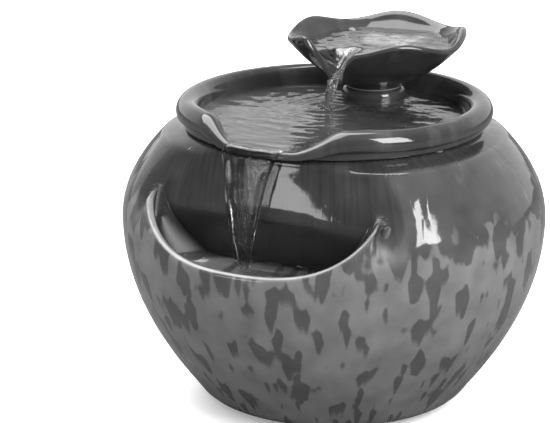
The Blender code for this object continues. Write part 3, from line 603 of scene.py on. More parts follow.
def pot_finish():
    material, tree, shader = new_finish("Mottled drip glaze", IOR=GLAZE_IOR)
    skin = place_group(tree, GLAZE, Pool_size=75.0, Pooling=0.2, Specks=0.1)
    wall = place_group(tree, WALL_PLACE)
    height = wall["Z"]
    wander = noise(tree, wall["Unrolled"], 28.0, 2.0)
    shaken = plus(tree, height, times(tree, minus(tree, wander, 0.5), 90 * MM))
    blots = run_down(tree, wall["Unrolled"], 8 * MM, 0.62, 11 * MM, 5, 0.024)
    # High on the wall the blots run together into the shoulder's glaze
    crowd = noise(tree, wall["Unrolled"], 22.0, 0.0)
    needed = between(tree, ease(tree, shaken, 88 * MM, 124 * MM), 0.595, 0.38)
    needed = plus(tree, needed, times(tree, minus(tree, crowd, 0.5), 0.12))
    spots = ease(tree, minus(tree, blots, needed), -0.035, 0.035)
    body = between(tree, spots, LIGHT_GLAZE, SPOT_GLAZE)
    shoulder = ease(tree, shaken, 106 * MM, 138 * MM)
    body = between(tree, shoulder, body, SHOULDER_GLAZE)
    streaks = put(tree, "ShaderNodeMapping", Vector=wall["Unrolled"])
    streaks.inputs["Scale"].default_value = (1, 1, 0.05)
    brushed = noise(tree, streaks.outputs[0], 420.0, 2.0)
    dent_tone = between(tree, brushed, DENT_GLAZE * 0.55, DENT_GLAZE * 1.45)
    edge = plus(tree, wall["Dent"], times(tree, minus(tree, brushed, 0.5), 3 * MM))
    above_floor = ease(tree, height, 80 * MM, 84 * MM)
    dented = times(tree, ease(tree, edge, 1.5 * MM, 2.6 * MM), above_floor)
    tone = between(tree, dented, body, dent_tone)
    # Painted shade: down in the pocket the tone is painted darker, and the glaze there is matt. Painted
    # highlight: along the top of the lip's roll the tone is painted pale
    below_lip = minus(tree, 1, ease(tree, height, 108 * MM, 119 * MM))
    in_pocket = times(tree, ease(tree, wall["Dent"], 3 * MM, 4.6 * MM), below_lip, above_floor)
    tone = between(tree, in_pocket, tone, POCKET_SHADE_TONE)
    # The lip mark: the tone there is painted pale, as a painted highlight
    lip = put(tree, "ShaderNodeAttribute", attribute_name="lip").outputs["Fac"]
    tone = times(tree, between(tree, lip, tone, LIP_HIGHLIGHT_TONE), skin["Tone"])
    bare = calc(tree, "LESS_THAN", height, BASE_HEIGHT + 0.7 * MM)
    tip = put(tree, "ShaderNodeAttribute", attribute_name="tip").outputs["Fac"]
    matt = between(tree, calc(tree, "MAXIMUM", in_pocket, tip), skin["Roughness"], MATT_GLAZE)
    relief = plus(tree, skin["Height"], times(tree, spots, 0.25), times(tree, brushed, dented, 0.25))
    coat(tree, shader, between(tree, bare, tone, BARE_CLAY), between(tree, bare, matt, BARE_ROUGHNESS),
         relief, 0.6, 0.35 * MM)
    return material


def cut_with(obj, tools, operation="DIFFERENCE"):
    """Cuts or joins closed tools with a piece, and removes the tools."""
    for tool in tools:
        modifier = obj.modifiers.new("Boolean", "BOOLEAN")
        modifier.operation = operation
        modifier.object = tool
    settle(obj)
    for tool in tools:
        bpy.data.objects.remove(tool)
    smooth_shade(obj.data)


def box_tool(low, high, turn):
    """A closed box for cutting, turned about the pot's axis."""
    corners = [(x, y, z) for x in (low[0], high[0]) for y in (low[1], high[1]) for z in (low[2], high[2])]
    faces = [(0, 1, 3, 2), (4, 6, 7, 5), (0, 4, 5, 1), (2, 3, 7, 6), (0, 2, 6, 4), (1, 5, 7, 3)]
    return add_piece("box_tool", [Matrix.Rotation(turn, 3, "Z") @ Vector(c) for c in corners], faces, None)


def lathe_tool(name, profile, segments, place):
    """A closed body of revolution for cutting or joining, put in its place. Its profile is a list of
    (radius, z) points that starts and ends on the axis."""
    rings = []
    for i in range(segments):
        angle = 2 * pi * i / segments
        rings += [place @ Vector((r * sin(angle), -r * cos(angle), z)) for r, z in profile]
    return add_piece(name, rings, ring_faces(segments, len(profile), closed_rings=False), None)


mottled = pot_finish()


def turn_angles():
    """Angles all round, closer together at the pocket's ends."""
    degrees = -180.0
    angles = []
    while degrees < 180:
        angles.append(radians(degrees))
        degrees += TIP_TURN_STEP if TIP_TURNS[0] <= abs(degrees) <= TIP_TURNS[1] else POT_TURN_STEP
    return angles


signed = turn_angles()
pot_shape = curve_through([pot_outline(angle) for angle in signed], 3)
pot = turned_piece("glazed_pot", turned_points(pot_shape, signed), mottled)
grommet_low, grommet_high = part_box("cord_grommet")
CORD_HEIGHT = (grommet_low.z + grommet_high.z) / 2
CORD_SLOPE = atan(2 * (CORD_HEIGHT - BELLY_HEIGHT) / UPPER_BULGE)
cord_place = Matrix.Translation((0, outer_radius(CORD_HEIGHT), CORD_HEIGHT))
cord_place = cord_place @ Matrix.Rotation(CORD_SLOPE - pi / 2, 4, "X")
cord_hole = [(0, -20 * MM), (CORD_RADIUS, -20 * MM), (CORD_RADIUS, 20 * MM), (0, 20 * MM)]
cutters = [lathe_tool("cord_tool", cord_hole, 48, cord_place)]
drain_half, drain_tall = DRAIN_SIZE[0] / 2, DRAIN_SIZE[1]
for drain_angle in DRAIN_ANGLES:
    tool_high = (drain_half, -50 * MM, DRAIN_LOW + drain_tall)
    cutters.append(box_tool((-drain_half, -76 * MM, DRAIN_LOW), tool_high, drain_angle))
cut_with(pot, cutters)


def mark_lip(obj):
    """Marks the top of the lip's roll, where a pale painted highlight goes, and the wall round its tips,
    where it is matt."""
    lip_highlights = []
    tips = []
    for vertex in obj.data.vertices:
        x, y, z = vertex.co
        angle = atan2(x, -y)
        radius = sqrt(x * x + y * y)
        lip = lip_height(angle)
        across = radius - outer_radius(lip) + LIP_ROLL
        on_top = smooth_step(-1.3 * MM, -0.4 * MM, z - lip) * smooth_step(3.2 * MM, 2.4 * MM, abs(across))
        lip_highlights.append(on_top * pocket_closing(angle) if abs(z - lip) < 2 * MM else 0)
        aside = smooth_step(radians(33), radians(37), abs(angle))
        aside *= smooth_step(radians(48), radians(44), abs(angle))
        level = smooth_step(84 * MM, 92 * MM, z) * smooth_step(130 * MM, 122 * MM, z)
        tips.append(aside * level if radius > outer_radius(z) - 9 * MM else 0)
    for label, values in (("lip", lip_highlights), ("tip", tips)):
        obj.data.attributes.new(label, "FLOAT", "POINT").data.foreach_set("value", values)


mark_lip(pot)
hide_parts("pot_body")
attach(pot, "pot")


# Tray: a cast stoneware dish in a darker glaze. Its rolled rim opens in front into a flat spout, and the
# pedestal for the leaf bowl stands near the back of it.
TRAY_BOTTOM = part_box("tray")[0].z
nozzle_low, nozzle_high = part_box("nozzle")
AXIS_Y = (nozzle_low.y + nozzle_high.y) / 2
TRAY_SEAT = 145.8 * MM
TRAY_FLOOR = 145 * MM
TRAY_PLUG_RADIUS = 66.4 * MM
TRAY_BAND_RADIUS = 77.6 * MM
RIM_RADIUS = 75 * MM
RIM_HEIGHT = 153 * MM
RIM_ROLL = 6.4 * MM
SPOUT_ANGLES = (radians(11), radians(31))
SPOUT_RADIUS = 79.4 * MM
SPOUT_HEIGHT = 147.4 * MM
SPOUT_ROLL = 2.5 * MM
CREST_RISE = (radians(20), radians(31))
CREST_FALL = (radians(36), radians(60))
CREST_HEIGHT = 1 * MM
PEDESTAL_RADIUS = 16.8 * MM
PEDESTAL_TOP = 155 * MM
PEDESTAL_BORE = 9 * MM


def rim_roll(angle):
    """Radius of the rolled rim, and the radius and height of its centre."""
    plain = smooth_step(*SPOUT_ANGLES, abs(angle))
    crest = smooth_step(*CREST_RISE, abs(angle)) * (1 - smooth_step(*CREST_FALL, abs(angle)))
    roll = SPOUT_ROLL + (RIM_ROLL - SPOUT_ROLL) * plain
    radius = SPOUT_RADIUS + (RIM_RADIUS - SPOUT_RADIUS) * plain
    return roll, radius, SPOUT_HEIGHT + (RIM_HEIGHT - SPOUT_HEIGHT) * plain + CREST_HEIGHT * crest


def tray_outline(angle):
    """One radial section, from the middle of the dish over the rim and down to the middle underneath."""
    roll, radius, height = rim_roll(angle)
    outline = [(0, TRAY_FLOOR), (30 * MM, TRAY_FLOOR), (52 * MM, TRAY_FLOOR + 0.3 * MM),
               (61 * MM, TRAY_FLOOR + 1.4 * MM), (67 * MM, TRAY_FLOOR + 3.6 * MM)]
    for turn in range(160, -31, -19):
        outline.append((radius + roll * cos(radians(turn)), height + roll * sin(radians(turn))))
    groove = max(height - 0.72 * roll, TRAY_SEAT + 0.6 * MM)
    return outline + [
        (TRAY_BAND_RADIUS, groove), (TRAY_BAND_RADIUS - 0.2 * MM, TRAY_SEAT + 0.3 * MM),
        (TRAY_BAND_RADIUS - 0.8 * MM, TRAY_SEAT), (TRAY_PLUG_RADIUS + 1 * MM, TRAY_SEAT),
        (TRAY_PLUG_RADIUS, TRAY_SEAT - 1 * MM), (TRAY_PLUG_RADIUS, TRAY_BOTTOM + 1 * MM),
        (TRAY_PLUG_RADIUS - 1 * MM, TRAY_BOTTOM), (30 * MM, TRAY_BOTTOM), (0, TRAY_BOTTOM)]


DARK_GLAZE = 0.03
THIN_GLAZE = 0.05


def dark_finish(name, pool_size):
    """A dark glossy glaze, paler in thin places."""
    material, tree, shader = new_finish(name, IOR=GLAZE_IOR)
    skin = place_group(tree, GLAZE, Pool_size=pool_size, Pooling=0.25, Specks=0.12)
    place = on_piece(tree)
    runs = put(tree, "ShaderNodeMapping", Vector=place)
    runs.inputs["Scale"].default_value = (1, 1, 0.3)
    run_off = noise(tree, runs.outputs[0], 70.0, 3.0)
    worn = ease(tree, run_off, 0.52, 0.72)
    shade = times(tree, between(tree, worn, DARK_GLAZE, THIN_GLAZE), skin["Tone"])
    coat(tree, shader, shade, skin["Roughness"], skin["Height"], 0.5, 0.4 * MM)
    return material


tray_glaze = dark_finish("Tray glaze", 50.0)
tray_shape = curve_through([tray_outline(angle) for angle in signed], 3)
tray = turned_piece("glazed_tray", turned_points(tray_shape, signed), tray_glaze)
on_axis = Matrix.Translation((0, AXIS_Y, 0))
pedestal = curve_through([[(0, TRAY_BOTTOM + 1 * MM), (PEDESTAL_RADIUS + 2 * MM, TRAY_BOTTOM + 1 * MM),
                           (PEDESTAL_RADIUS + 2 * MM, TRAY_FLOOR + 0.5 * MM),
                           (PEDESTAL_RADIUS, TRAY_FLOOR + 2.5 * MM),
                           (PEDESTAL_RADIUS, PEDESTAL_TOP - 1.2 * MM),
                           (PEDESTAL_RADIUS - 1.2 * MM, PEDESTAL_TOP), (0, PEDESTAL_TOP)]], 3)[0]
cut_with(tray, [lathe_tool("pedestal_tool", pedestal.tolist(), 96, on_axis)], "UNION")
bore = [(0, TRAY_BOTTOM - 5 * MM), (PEDESTAL_BORE, TRAY_BOTTOM - 5 * MM),
        (PEDESTAL_BORE, PEDESTAL_TOP + 5 * MM), (0, PEDESTAL_TOP + 5 * MM)]
cut_with(tray, [lathe_tool("bore_tool", bore, 64, on_axis)])
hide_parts("tray")
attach(tray, "tray")


# Leaf bowl: cast stoneware, pulled by hand into five soft lobes and a pouring notch, in the same dark
# glaze. It turns on a silicone washer on the pedestal, and water wells up in it from the nozzle.
LEAF_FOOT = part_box("leaf_bowl")[0].z
LEAF_FOOT_RADIUS = 16.6 * MM
LEAF_BORE = 7.4 * MM
LEAF_RIM_RADIUS = 46.5 * MM
LEAF_RIM_HEIGHT = 181.5 * MM
LEAF_WALL = 3.2 * MM
LEAF_SAG = 2.2 * MM
LEAF_INNER_SAG = 3.7 * MM
LEAF_FLOOR = LEAF_FOOT + 6 * MM
LEAF_TURN_STEP = 2
NOTCH_ANGLE = radians(-13.5)
NOTCH_BOTTOM = radians(4)
NOTCH_SIDES = (radians(12), radians(24))
NOTCH_RADIUS = 31 * MM
NOTCH_DEPTH = 20 * MM


def new_rule(name, inputs):
    """A geometry tree that takes a mesh, named numbers and a material."""
    tree = bpy.data.node_groups.new(name, "GeometryNodeTree")
    tree.interface.new_socket("Geometry", in_out="INPUT", socket_type="NodeSocketGeometry")
    for label, value in inputs:
        socket = tree.interface.new_socket(label, in_out="INPUT", socket_type="NodeSocketFloat")
        socket.default_value = value
    tree.interface.new_socket("Material", in_out="INPUT", socket_type="NodeSocketMaterial")
    tree.interface.new_socket("Geometry", in_out="OUTPUT", socket_type="NodeSocketGeometry")
    return tree, put(tree, "NodeGroupInput").outputs


def end_rule(tree, geometry, given):
    whole = put(tree, "GeometryNodeRealizeInstances", Geometry=geometry)
    coated = put(tree, "GeometryNodeSetMaterial", Geometry=whole.outputs[0], Material=given["Material"])
    put(tree, "NodeGroupOutput", Geometry=coated.outputs[0])


def apply_rule(obj, tree, **values):
    """Sets the rule's named inputs on a piece and turns its result into the piece's own plain mesh."""
    modifier = obj.modifiers.new(tree.name, "NODES")
    modifier.node_group = tree
    sockets = {item.name: item.identifier for item in tree.interface.items_tree if item.in_out == "INPUT"}
    for label, value in values.items():
        modifier[sockets[label.replace("_", " ")]] = value
    settle(obj)
    obj.data.shade_smooth()


def leaf_rule():
    """Each point of a plain bowl follows the rim by its share of the way up the wall. The rim rises and
    falls in waves round the bowl, and is pulled down and in at the notch."""
    tree, given = new_rule("Leaf rim", (
        ("Lobes", 5.0), ("Wave", 2.3 * MM), ("Wave angle", radians(43)), ("Notch angle", NOTCH_ANGLE),
        ("Notch bottom", NOTCH_BOTTOM), ("Left side", NOTCH_SIDES[0]), ("Right side", NOTCH_SIDES[1]),
        ("Notch depth", NOTCH_DEPTH), ("Notch pull", LEAF_RIM_RADIUS - NOTCH_RADIUS),
        ("Shift", 2 * MM), ("Shift angle", radians(115)), ("Hand", 0.7 * MM)))
    place = put(tree, "GeometryNodeInputPosition").outputs[0]
    axes = put(tree, "ShaderNodeSeparateXYZ", Vector=place).outputs
    radius = from_axis(tree, axes["X"], axes["Y"])
    angle = calc(tree, "ARCTAN2", axes["X"], times(tree, axes["Y"], -1))
    turn = calc(tree, "WRAP", minus(tree, angle, given["Notch angle"]), pi, -pi)
    is_right = calc(tree, "GREATER_THAN", turn, 0)
    side = between(tree, is_right, given["Left side"], given["Right side"])
    far = plus(tree, given["Notch bottom"], side)
    clear = ease(tree, calc(tree, "ABSOLUTE", turn), given["Notch bottom"], far)
    notch = minus(tree, 1, clear)
    phase = times(tree, given["Lobes"], minus(tree, angle, given["Wave angle"]))
    wave = times(tree, calc(tree, "COSINE", phase), given["Wave"], clear)
    aside = calc(tree, "COSINE", minus(tree, angle, given["Shift angle"]))
    shift = times(tree, aside, given["Shift"], clear)
    out = minus(tree, shift, times(tree, wave, 0.3))
    out = minus(tree, out, times(tree, given["Notch pull"], notch))
    up = minus(tree, wave, times(tree, given["Notch depth"], notch))
    rise, sag_out, sag_up = (put(tree, "GeometryNodeInputNamedAttribute", Name=label).outputs[0]
                             for label in ("rise", "sag_out", "sag_up"))
    out = minus(tree, times(tree, out, rise), times(tree, sag_out, notch))
    up = minus(tree, times(tree, up, rise), times(tree, sag_up, notch))
    dents = noise(tree, place, 38.0, 1.0)
    felt = times(tree, minus(tree, dents, 0.5), given["Hand"])
    out = plus(tree, out, times(tree, felt, times(tree, rise, 2)))
    stretch = calc(tree, "DIVIDE", out, calc(tree, "MAXIMUM", radius, 1 * MM))
    offset = put(tree, "ShaderNodeCombineXYZ", X=times(tree, axes["X"], stretch),
                 Y=times(tree, axes["Y"], stretch), Z=up)
    moved = put(tree, "GeometryNodeSetPosition", Geometry=given["Geometry"], Offset=offset.outputs[0])
    end_rule(tree, moved.outputs[0], given)
    return tree


def leaf_profile():
    """The plain bowl's section as (radius, z, rise, sag out, sag up), from the bore under the foot, up the
    outside, over the rim and down the inside."""
    foot = Vector((LEAF_FOOT_RADIUS, LEAF_FOOT + 1.5 * MM))
    rim = Vector((LEAF_RIM_RADIUS, LEAF_RIM_HEIGHT))
    side = rim - foot
    normal = Vector((side.y, -side.x)).normalized()
    out = side.normalized()
    profile = [(LEAF_BORE, LEAF_FOOT, 0, 0, 0), (LEAF_FOOT_RADIUS - 1 * MM, LEAF_FOOT, 0, 0, 0),
               (LEAF_FOOT_RADIUS, LEAF_FOOT + 1 * MM, 0, 0, 0)]
    for share in (0.1, 0.25, 0.4, 0.55, 0.7, 0.85, 0.95):
        sag = normal * LEAF_SAG * sin(pi * share)
        profile.append((*(foot + side * share + sag), share, *sag))
    middle = rim - normal * LEAF_WALL / 2
    for turn in range(0, 181, 30):
        edge = normal * cos(radians(turn)) + out * sin(radians(turn)) * 0.9
        profile.append((*(middle + edge * LEAF_WALL / 2), 1, 0, 0))
    inner_foot = Vector((LEAF_BORE + 4 * MM, LEAF_FLOOR))
    inner_side = rim - normal * LEAF_WALL - inner_foot
    for share in (0.9, 0.75, 0.6, 0.45, 0.3, 0.15):
        sag = normal * LEAF_INNER_SAG * sin(pi * share)
        profile.append((*(inner_foot + inner_side * share + sag), share, *sag))
    return profile + [(*inner_foot, 0, 0, 0), (LEAF_BORE, LEAF_FLOOR, 0, 0, 0)]


def leaf_piece(material):
    profile = leaf_profile()
    section = curve_through([profile + profile[:1]], 3)[0][:-1]
    steps = round(360 / LEAF_TURN_STEP)
    bowl_angles = [2 * pi * i / steps for i in range(steps)]
    points = turned_points(np.repeat(section[None, :, :2], steps, axis=0), bowl_angles)
    mesh = bpy.data.meshes.new("glazed_leaf_bowl")
    mesh.from_pydata(points.reshape(-1, 3).tolist(), [], ring_faces(steps, len(section)))
    for column, label in ((2, "rise"), (3, "sag_out"), (4, "sag_up")):
        values = np.tile(section[:, column], steps).astype(np.float32)
        mesh.attributes.new(label, "FLOAT", "POINT").data.foreach_set("value", values)
    if signed_volume(mesh) < 0:
        mesh.flip_normals()
    bowl = show("glazed_leaf_bowl", mesh)
    apply_rule(bowl, leaf_rule(), Material=material)
    bowl.data.transform(Matrix.Translation((0, AXIS_Y, 0)))
    return bowl


def signed_volume(mesh):
    """Positive where the faces of a closed mesh point outwards."""
    mesh.calc_loop_triangles()
    points = np.array([v.co for v in mesh.vertices])
    corners = points[np.array([t.vertices for t in mesh.loop_triangles])]
    return float(np.einsum("ij,ij->i", corners[:, 0], np.cross(corners[:, 1], corners[:, 2])).sum())


leaf_glaze = dark_finish("Leaf glaze", 60.0)
leaf = leaf_piece(leaf_glaze)
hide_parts("leaf_bowl")
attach(leaf, "leaf")


# Water: it stands in the pot, the pocket, the tray and the leaf, ruffled by the falls. Each is a closed body
# of clear water whose sides lie just inside the ceramic, and it lets light down to what is under it.
POT_LEVEL = 90.5 * MM
TRAY_LEVEL = 150.6 * MM
LEAF_LEVEL = 178.2 * MM
WATER_FILM = 0.5 * MM
INTO_WALL = 1 * MM


def water_finish(name, froth, clear):
    """Water. Froth is the share of fine bubbles in it, and clear is the share of light that it passes."""
    material, tree, shader = new_finish(name, IOR=1.333, Transmission_Weight=1.0)
    place = on_piece(tree)
    fine = noise(tree, place, 500.0, 2.0)
    bubbles = put(tree, "ShaderNodeTexVoronoi", Vector=place, Scale=900.0).outputs["Distance"]
    heights = plus(tree, fine, times(tree, bubbles, 2 * froth))
    coat(tree, shader, between(tree, bubbles, clear, clear * 0.88),
         between(tree, fine, 0.0, 0.02 + 0.3 * froth), heights, 0.25 + froth, 0.3 * MM)
    # Light for what is under the water passes straight down
    shadow = put(tree, "ShaderNodeLightPath").outputs["Is Shadow Ray"]
    passed = put(tree, "ShaderNodeBsdfTransparent", Color=(0.9, 0.9, 0.9, 1))
    chosen = either(tree, shadow, shader.outputs[0], passed.outputs[0])
    tree.links.new(chosen, tree.nodes["Material Output"].inputs["Surface"])
    return material


def ripple_rule():
    """Rings that spread and die away from where water lands, over a choppy surface. Only points at the
    level move."""
    tree, given = new_rule("Ripples", (
        ("Level", 0.0), ("X", 0.0), ("Y", 0.0), ("Ring height", 0.3 * MM), ("Ring length", 7 * MM),
        ("Reach", 40 * MM), ("Chop height", 0.3 * MM), ("Chop length", 12 * MM), ("Seed", 1.0)))
    place = put(tree, "GeometryNodeInputPosition").outputs[0]
    axes = put(tree, "ShaderNodeSeparateXYZ", Vector=place).outputs
    x = minus(tree, axes["X"], given["X"])
    y = minus(tree, axes["Y"], given["Y"])
    away = from_axis(tree, x, y)
    wobble = noise(tree, place, 45.0, 1.0)
    turns = plus(tree, calc(tree, "DIVIDE", away, given["Ring length"]), times(tree, wobble, 1.6))
    rings = calc(tree, "SINE", times(tree, turns, 2 * pi))
    fading = calc(tree, "EXPONENT", times(tree, calc(tree, "DIVIDE", away, given["Reach"]), -1))
    rings = times(tree, rings, fading, given["Ring height"])
    flat = put(tree, "ShaderNodeVectorMath", operation="MULTIPLY", Vector=place)
    flat.inputs[1].default_value = (1, 2.2, 1)
    chop = put(tree, "ShaderNodeTexNoise", noise_dimensions="4D", Vector=flat.outputs[0], W=given["Seed"],
               Scale=calc(tree, "DIVIDE", 1, given["Chop length"]), Detail=2.0).outputs["Fac"]
    chop = times(tree, minus(tree, chop, 0.5), times(tree, given["Chop height"], 4))
    under = minus(tree, given["Level"], 0.45 * MM)
    free = ease(tree, axes["Z"], under, minus(tree, given["Level"], 0.02 * MM))
    lift = times(tree, plus(tree, rings, chop), free)
    offset = put(tree, "ShaderNodeCombineXYZ", Z=lift)
    moved = put(tree, "GeometryNodeSetPosition", Geometry=given["Geometry"], Offset=offset.outputs[0])
    end_rule(tree, moved.outputs[0], given)
    return tree


def solid_tree(obj):
    """What rays are cast against to find a piece's walls."""
    return BVHTree.FromPolygons([v.co for v in obj.data.vertices], [p.vertices for p in obj.data.polygons])


def wall_reach(walls, centre_y, angle, z, start, missed):
    """The distance from an upright axis at which a level ray enters the wall, or `missed`."""
    direction = Vector((sin(angle), -cos(angle), 0))
    hit = walls.ray_cast(Vector((0, centre_y, z)) + direction * start, direction)[0]
    return missed if hit is None else (hit - Vector((0, centre_y, z))).length


def pool_section(reach, edge_z, level, side, floor_z, rings):
    """A pool's section: a top with many rings, its edge, and the (radius, z) points of its hidden side."""
    top = []
    for i in range(rings + 1):
        share = i / rings
        top.append((reach * share, level + (edge_z - level) * smooth_step(0.88, 1, share)))
    return top + list(side) + [(0, floor_z)]


def capped_piece(name, points, rings, material):
    """A closed body from a row of equal rings of points, with a flat cap at each end."""
    size = len(points) // rings
    faces = ring_faces(rings, size, closed_way=False)
    faces += [tuple(range(size)), tuple(range((rings - 1) * size, rings * size))]
    return add_piece(name, points, faces, material)


clear_water = water_finish("Water", 0.0, 0.97)
ripples = ripple_rule()

# The tray's pool runs out over the spout's edge
tray_walls = solid_tree(tray)
SPOUT_CREST = SPOUT_HEIGHT + SPOUT_ROLL
sections = []
for angle in signed:
    reach = wall_reach(tray_walls, 0, angle, TRAY_LEVEL, 65.6 * MM, SPOUT_RADIUS)
    over = reach >= SPOUT_RADIUS - 0.5 * MM and abs(angle) < SPOUT_ANGLES[1]
    edge_z = SPOUT_CREST + WATER_FILM if over else TRAY_LEVEL
    edge = reach + (0.4 * MM if over else INTO_WALL)
    side = [(edge + 0.1 * MM, TRAY_LEVEL - 1.6 * MM), (66 * MM, TRAY_FLOOR + 1.9 * MM),
            (60 * MM, TRAY_FLOOR - 0.5 * MM)]
    sections.append(pool_section(edge, edge_z, TRAY_LEVEL, side, TRAY_FLOOR - 0.7 * MM, 70))
tray_water = turned_piece("tray_water", turned_points(np.array(sections), signed), clear_water)
LANDING_RADIUS = 36.5 * MM
LEAF_FALL = (LANDING_RADIUS * sin(NOTCH_ANGLE), AXIS_Y - LANDING_RADIUS * cos(NOTCH_ANGLE))
apply_rule(tray_water, ripples, Level=TRAY_LEVEL, X=LEAF_FALL[0], Y=LEAF_FALL[1], Ring_height=0.35 * MM,
           Ring_length=8 * MM, Reach=26 * MM, Chop_height=0.28 * MM, Chop_length=17 * MM, Seed=3.0,
           Material=clear_water)
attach(tray_water, "tray")

# The pot's water, seen when the tray is lifted, and the same level in the pocket
pot_walls = solid_tree(pot)
levels = (POT_LEVEL - 4 * MM, 76 * MM, 60 * MM, 44 * MM, 28 * MM, 14 * MM)
sections = []
for angle in signed[::2]:
    edge = wall_reach(pot_walls, 0, angle, POT_LEVEL, 1 * MM, 0) + INTO_WALL
    side = [(wall_reach(pot_walls, 0, angle, z, 1 * MM, 0) + INTO_WALL, z) for z in levels]
    side.append((56 * MM, INNER_FLOOR - INTO_WALL))
    sections.append(pool_section(edge, POT_LEVEL, POT_LEVEL, side, INNER_FLOOR - INTO_WALL, 30))
pot_water = turned_piece("pot_water", turned_points(np.array(sections), signed[::2]), clear_water)
apply_rule(pot_water, ripples, Level=POT_LEVEL, X=0.0, Y=-60 * MM, Ring_height=0.1 * MM, Ring_length=9 * MM,
           Reach=30 * MM, Chop_height=0.15 * MM, Chop_length=20 * MM, Seed=5.0, Material=clear_water)
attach(pot_water, "pot")

POCKET_WET = radians(30)
ALONG = 61
ACROSS = 16
rows = []
for angle in spread(-POCKET_WET, POCKET_WET, ALONG):
    floor = min(pocket_floor(angle), POT_LEVEL - 0.6 * MM) - 0.6 * MM
    inner = dent_radius(angle, POT_LEVEL) - INTO_WALL
    outer = outer_radius(lip_height(angle)) - 2 * LIP_ROLL + INTO_WALL
    foot = dent_radius(angle, floor + 4 * MM) - INTO_WALL
    loop = [(r, POT_LEVEL) for r in spread(inner, outer, ACROSS)]
    loop += [(outer, (floor + POT_LEVEL) / 2), (outer - 3 * MM, floor), (foot + 3 * MM, floor),
             (foot, (floor + POT_LEVEL) / 2)]
    rows += [(r * sin(angle), -r * cos(angle), z) for r, z in loop]
pocket_water = capped_piece("pocket_water", rows, ALONG, clear_water)
FALL_ANGLE = radians(-3.5)
FALL_RADIUS = 86.5 * MM
SPOUT_LANDING = (FALL_RADIUS * sin(FALL_ANGLE), -FALL_RADIUS * cos(FALL_ANGLE))
apply_rule(pocket_water, ripples, Level=POT_LEVEL, X=SPOUT_LANDING[0], Y=SPOUT_LANDING[1],
           Ring_height=0.3 * MM, Ring_length=5 * MM, Reach=16 * MM, Chop_height=0.12 * MM,
           Chop_length=15 * MM, Seed=8.0, Material=clear_water)
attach(pocket_water, "pot")


# Leaf's water: it wells up from the nozzle, fills the bowl, and slides down the notch in a smooth tongue.
def notch_share(angle):
    """1 at the notch's bottom, falling to 0 past its sides."""
    turn = (angle - NOTCH_ANGLE + pi) % (2 * pi) - pi
    side = NOTCH_SIDES[1] if turn > 0 else NOTCH_SIDES[0]
    return 1 - smooth_step(NOTCH_BOTTOM, NOTCH_BOTTOM + side, abs(turn))


NOTCH_LIP = LEAF_RIM_HEIGHT - NOTCH_DEPTH + LEAF_WALL
TONGUE_START = 13 * MM


def leaf_water_top(angle, r):
    """Height of the water in the leaf: level, but for the tongue that runs down to the notch's lip."""
    down = notch_share(angle) * smooth_step(TONGUE_START, NOTCH_RADIUS, r) ** 0.8
    welling = 1.1 * MM * exp(-(r / (6 * MM)) ** 2)
    return LEAF_LEVEL + welling - (LEAF_LEVEL - NOTCH_LIP - 1.6 * MM) * down


leaf_walls = solid_tree(leaf)
sections = []
water_angles = [radians(2 * i) for i in range(180)]
for angle in water_angles:
    way = Vector((sin(angle), -cos(angle), 0))
    radii = spread(8 * MM, 52 * MM, 45)
    edge = NOTCH_RADIUS + 0.5 * MM if notch_share(angle) > 0.5 else 44 * MM
    for near, far in zip(radii, radii[1:]):
        start = Vector((0, AXIS_Y, leaf_water_top(angle, near))) + way * near
        finish = Vector((0, AXIS_Y, leaf_water_top(angle, far))) + way * far
        hit = leaf_walls.ray_cast(start, (finish - start).normalized(), (finish - start).length)[0]
        if hit is not None:
            edge = (hit - Vector((0, AXIS_Y, hit.z))).length + INTO_WALL
            break
    top = [(edge * i / 44, leaf_water_top(angle, edge * i / 44)) for i in range(45)]
    rim_z = top[-1][1]
    bottom = [(edge - 0.3 * MM, rim_z - 0.8 * MM)]
    for share in (0.8, 0.6, 0.4, 0.25):
        r = edge * share
        wall_z = LEAF_FLOOR + (rim_z - LEAF_FLOOR) * max(0, (r - 11 * MM) / (edge - 11 * MM))
        bottom.append((r, wall_z - 1.4 * MM))
    sections.append(top + bottom + [(0, LEAF_FOOT + 4.6 * MM)])
leaf_water_points = turned_points(np.array(sections), water_angles, (0, AXIS_Y))
leaf_water = turned_piece("leaf_water", leaf_water_points, clear_water)
apply_rule(leaf_water, ripples, Level=LEAF_LEVEL, X=0.0, Y=AXIS_Y, Ring_height=0.3 * MM, Ring_length=9 * MM,
           Reach=22 * MM, Chop_height=0.3 * MM, Chop_length=14 * MM, Seed=2.0, Material=clear_water)
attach(leaf_water, "leaf")


# Falls: the sheet that runs off the spout, drawn in between two thick ropes as it drops into the pocket,
# and the short frothy one from the leaf's notch.
def fall_piece(name, path, left, right, thin, rope, material, per_span=14, across=22):
    """A closed sheet of water along a path of (radius, z) points about an axis. It lies between two angles,
    which depend on how far it has fallen, and is thick at its edges."""
    line = curve_through([path], per_span)[0]
    points = []
    for r, z in line:
        t = (path[0][1] - z) / (path[0][1] - path[-1][1])
        low, high = left(t), right(t)
        front, back = [], []
        for k in range(across + 1):
            u = 2 * k / across - 1
            edge = sqrt(max(1 - u ** 8, 0))
            cord = exp(-((abs(u) - 0.86) / 0.14) ** 2)
            streak = 0.35 * sin(9 * u + 5 * t) * sin(23 * u - 9 * t + 1) + 0.2 * sin(40 * t + 6 * u)
            half = (thin * (1 + streak) + rope * cord * (0.8 + 0.4 * sin(18 * t + 3 * u))) * edge / 2
            angle = (low + high) / 2 + (high - low) / 2 * u
            front.append(((r + half) * sin(angle), -(r + half) * cos(angle), z))
            back.append(((r - half) * sin(angle), -(r - half) * cos(angle), z))
        points += front + back[::-1][1:-1]
    return capped_piece(name, points, len(line), material)


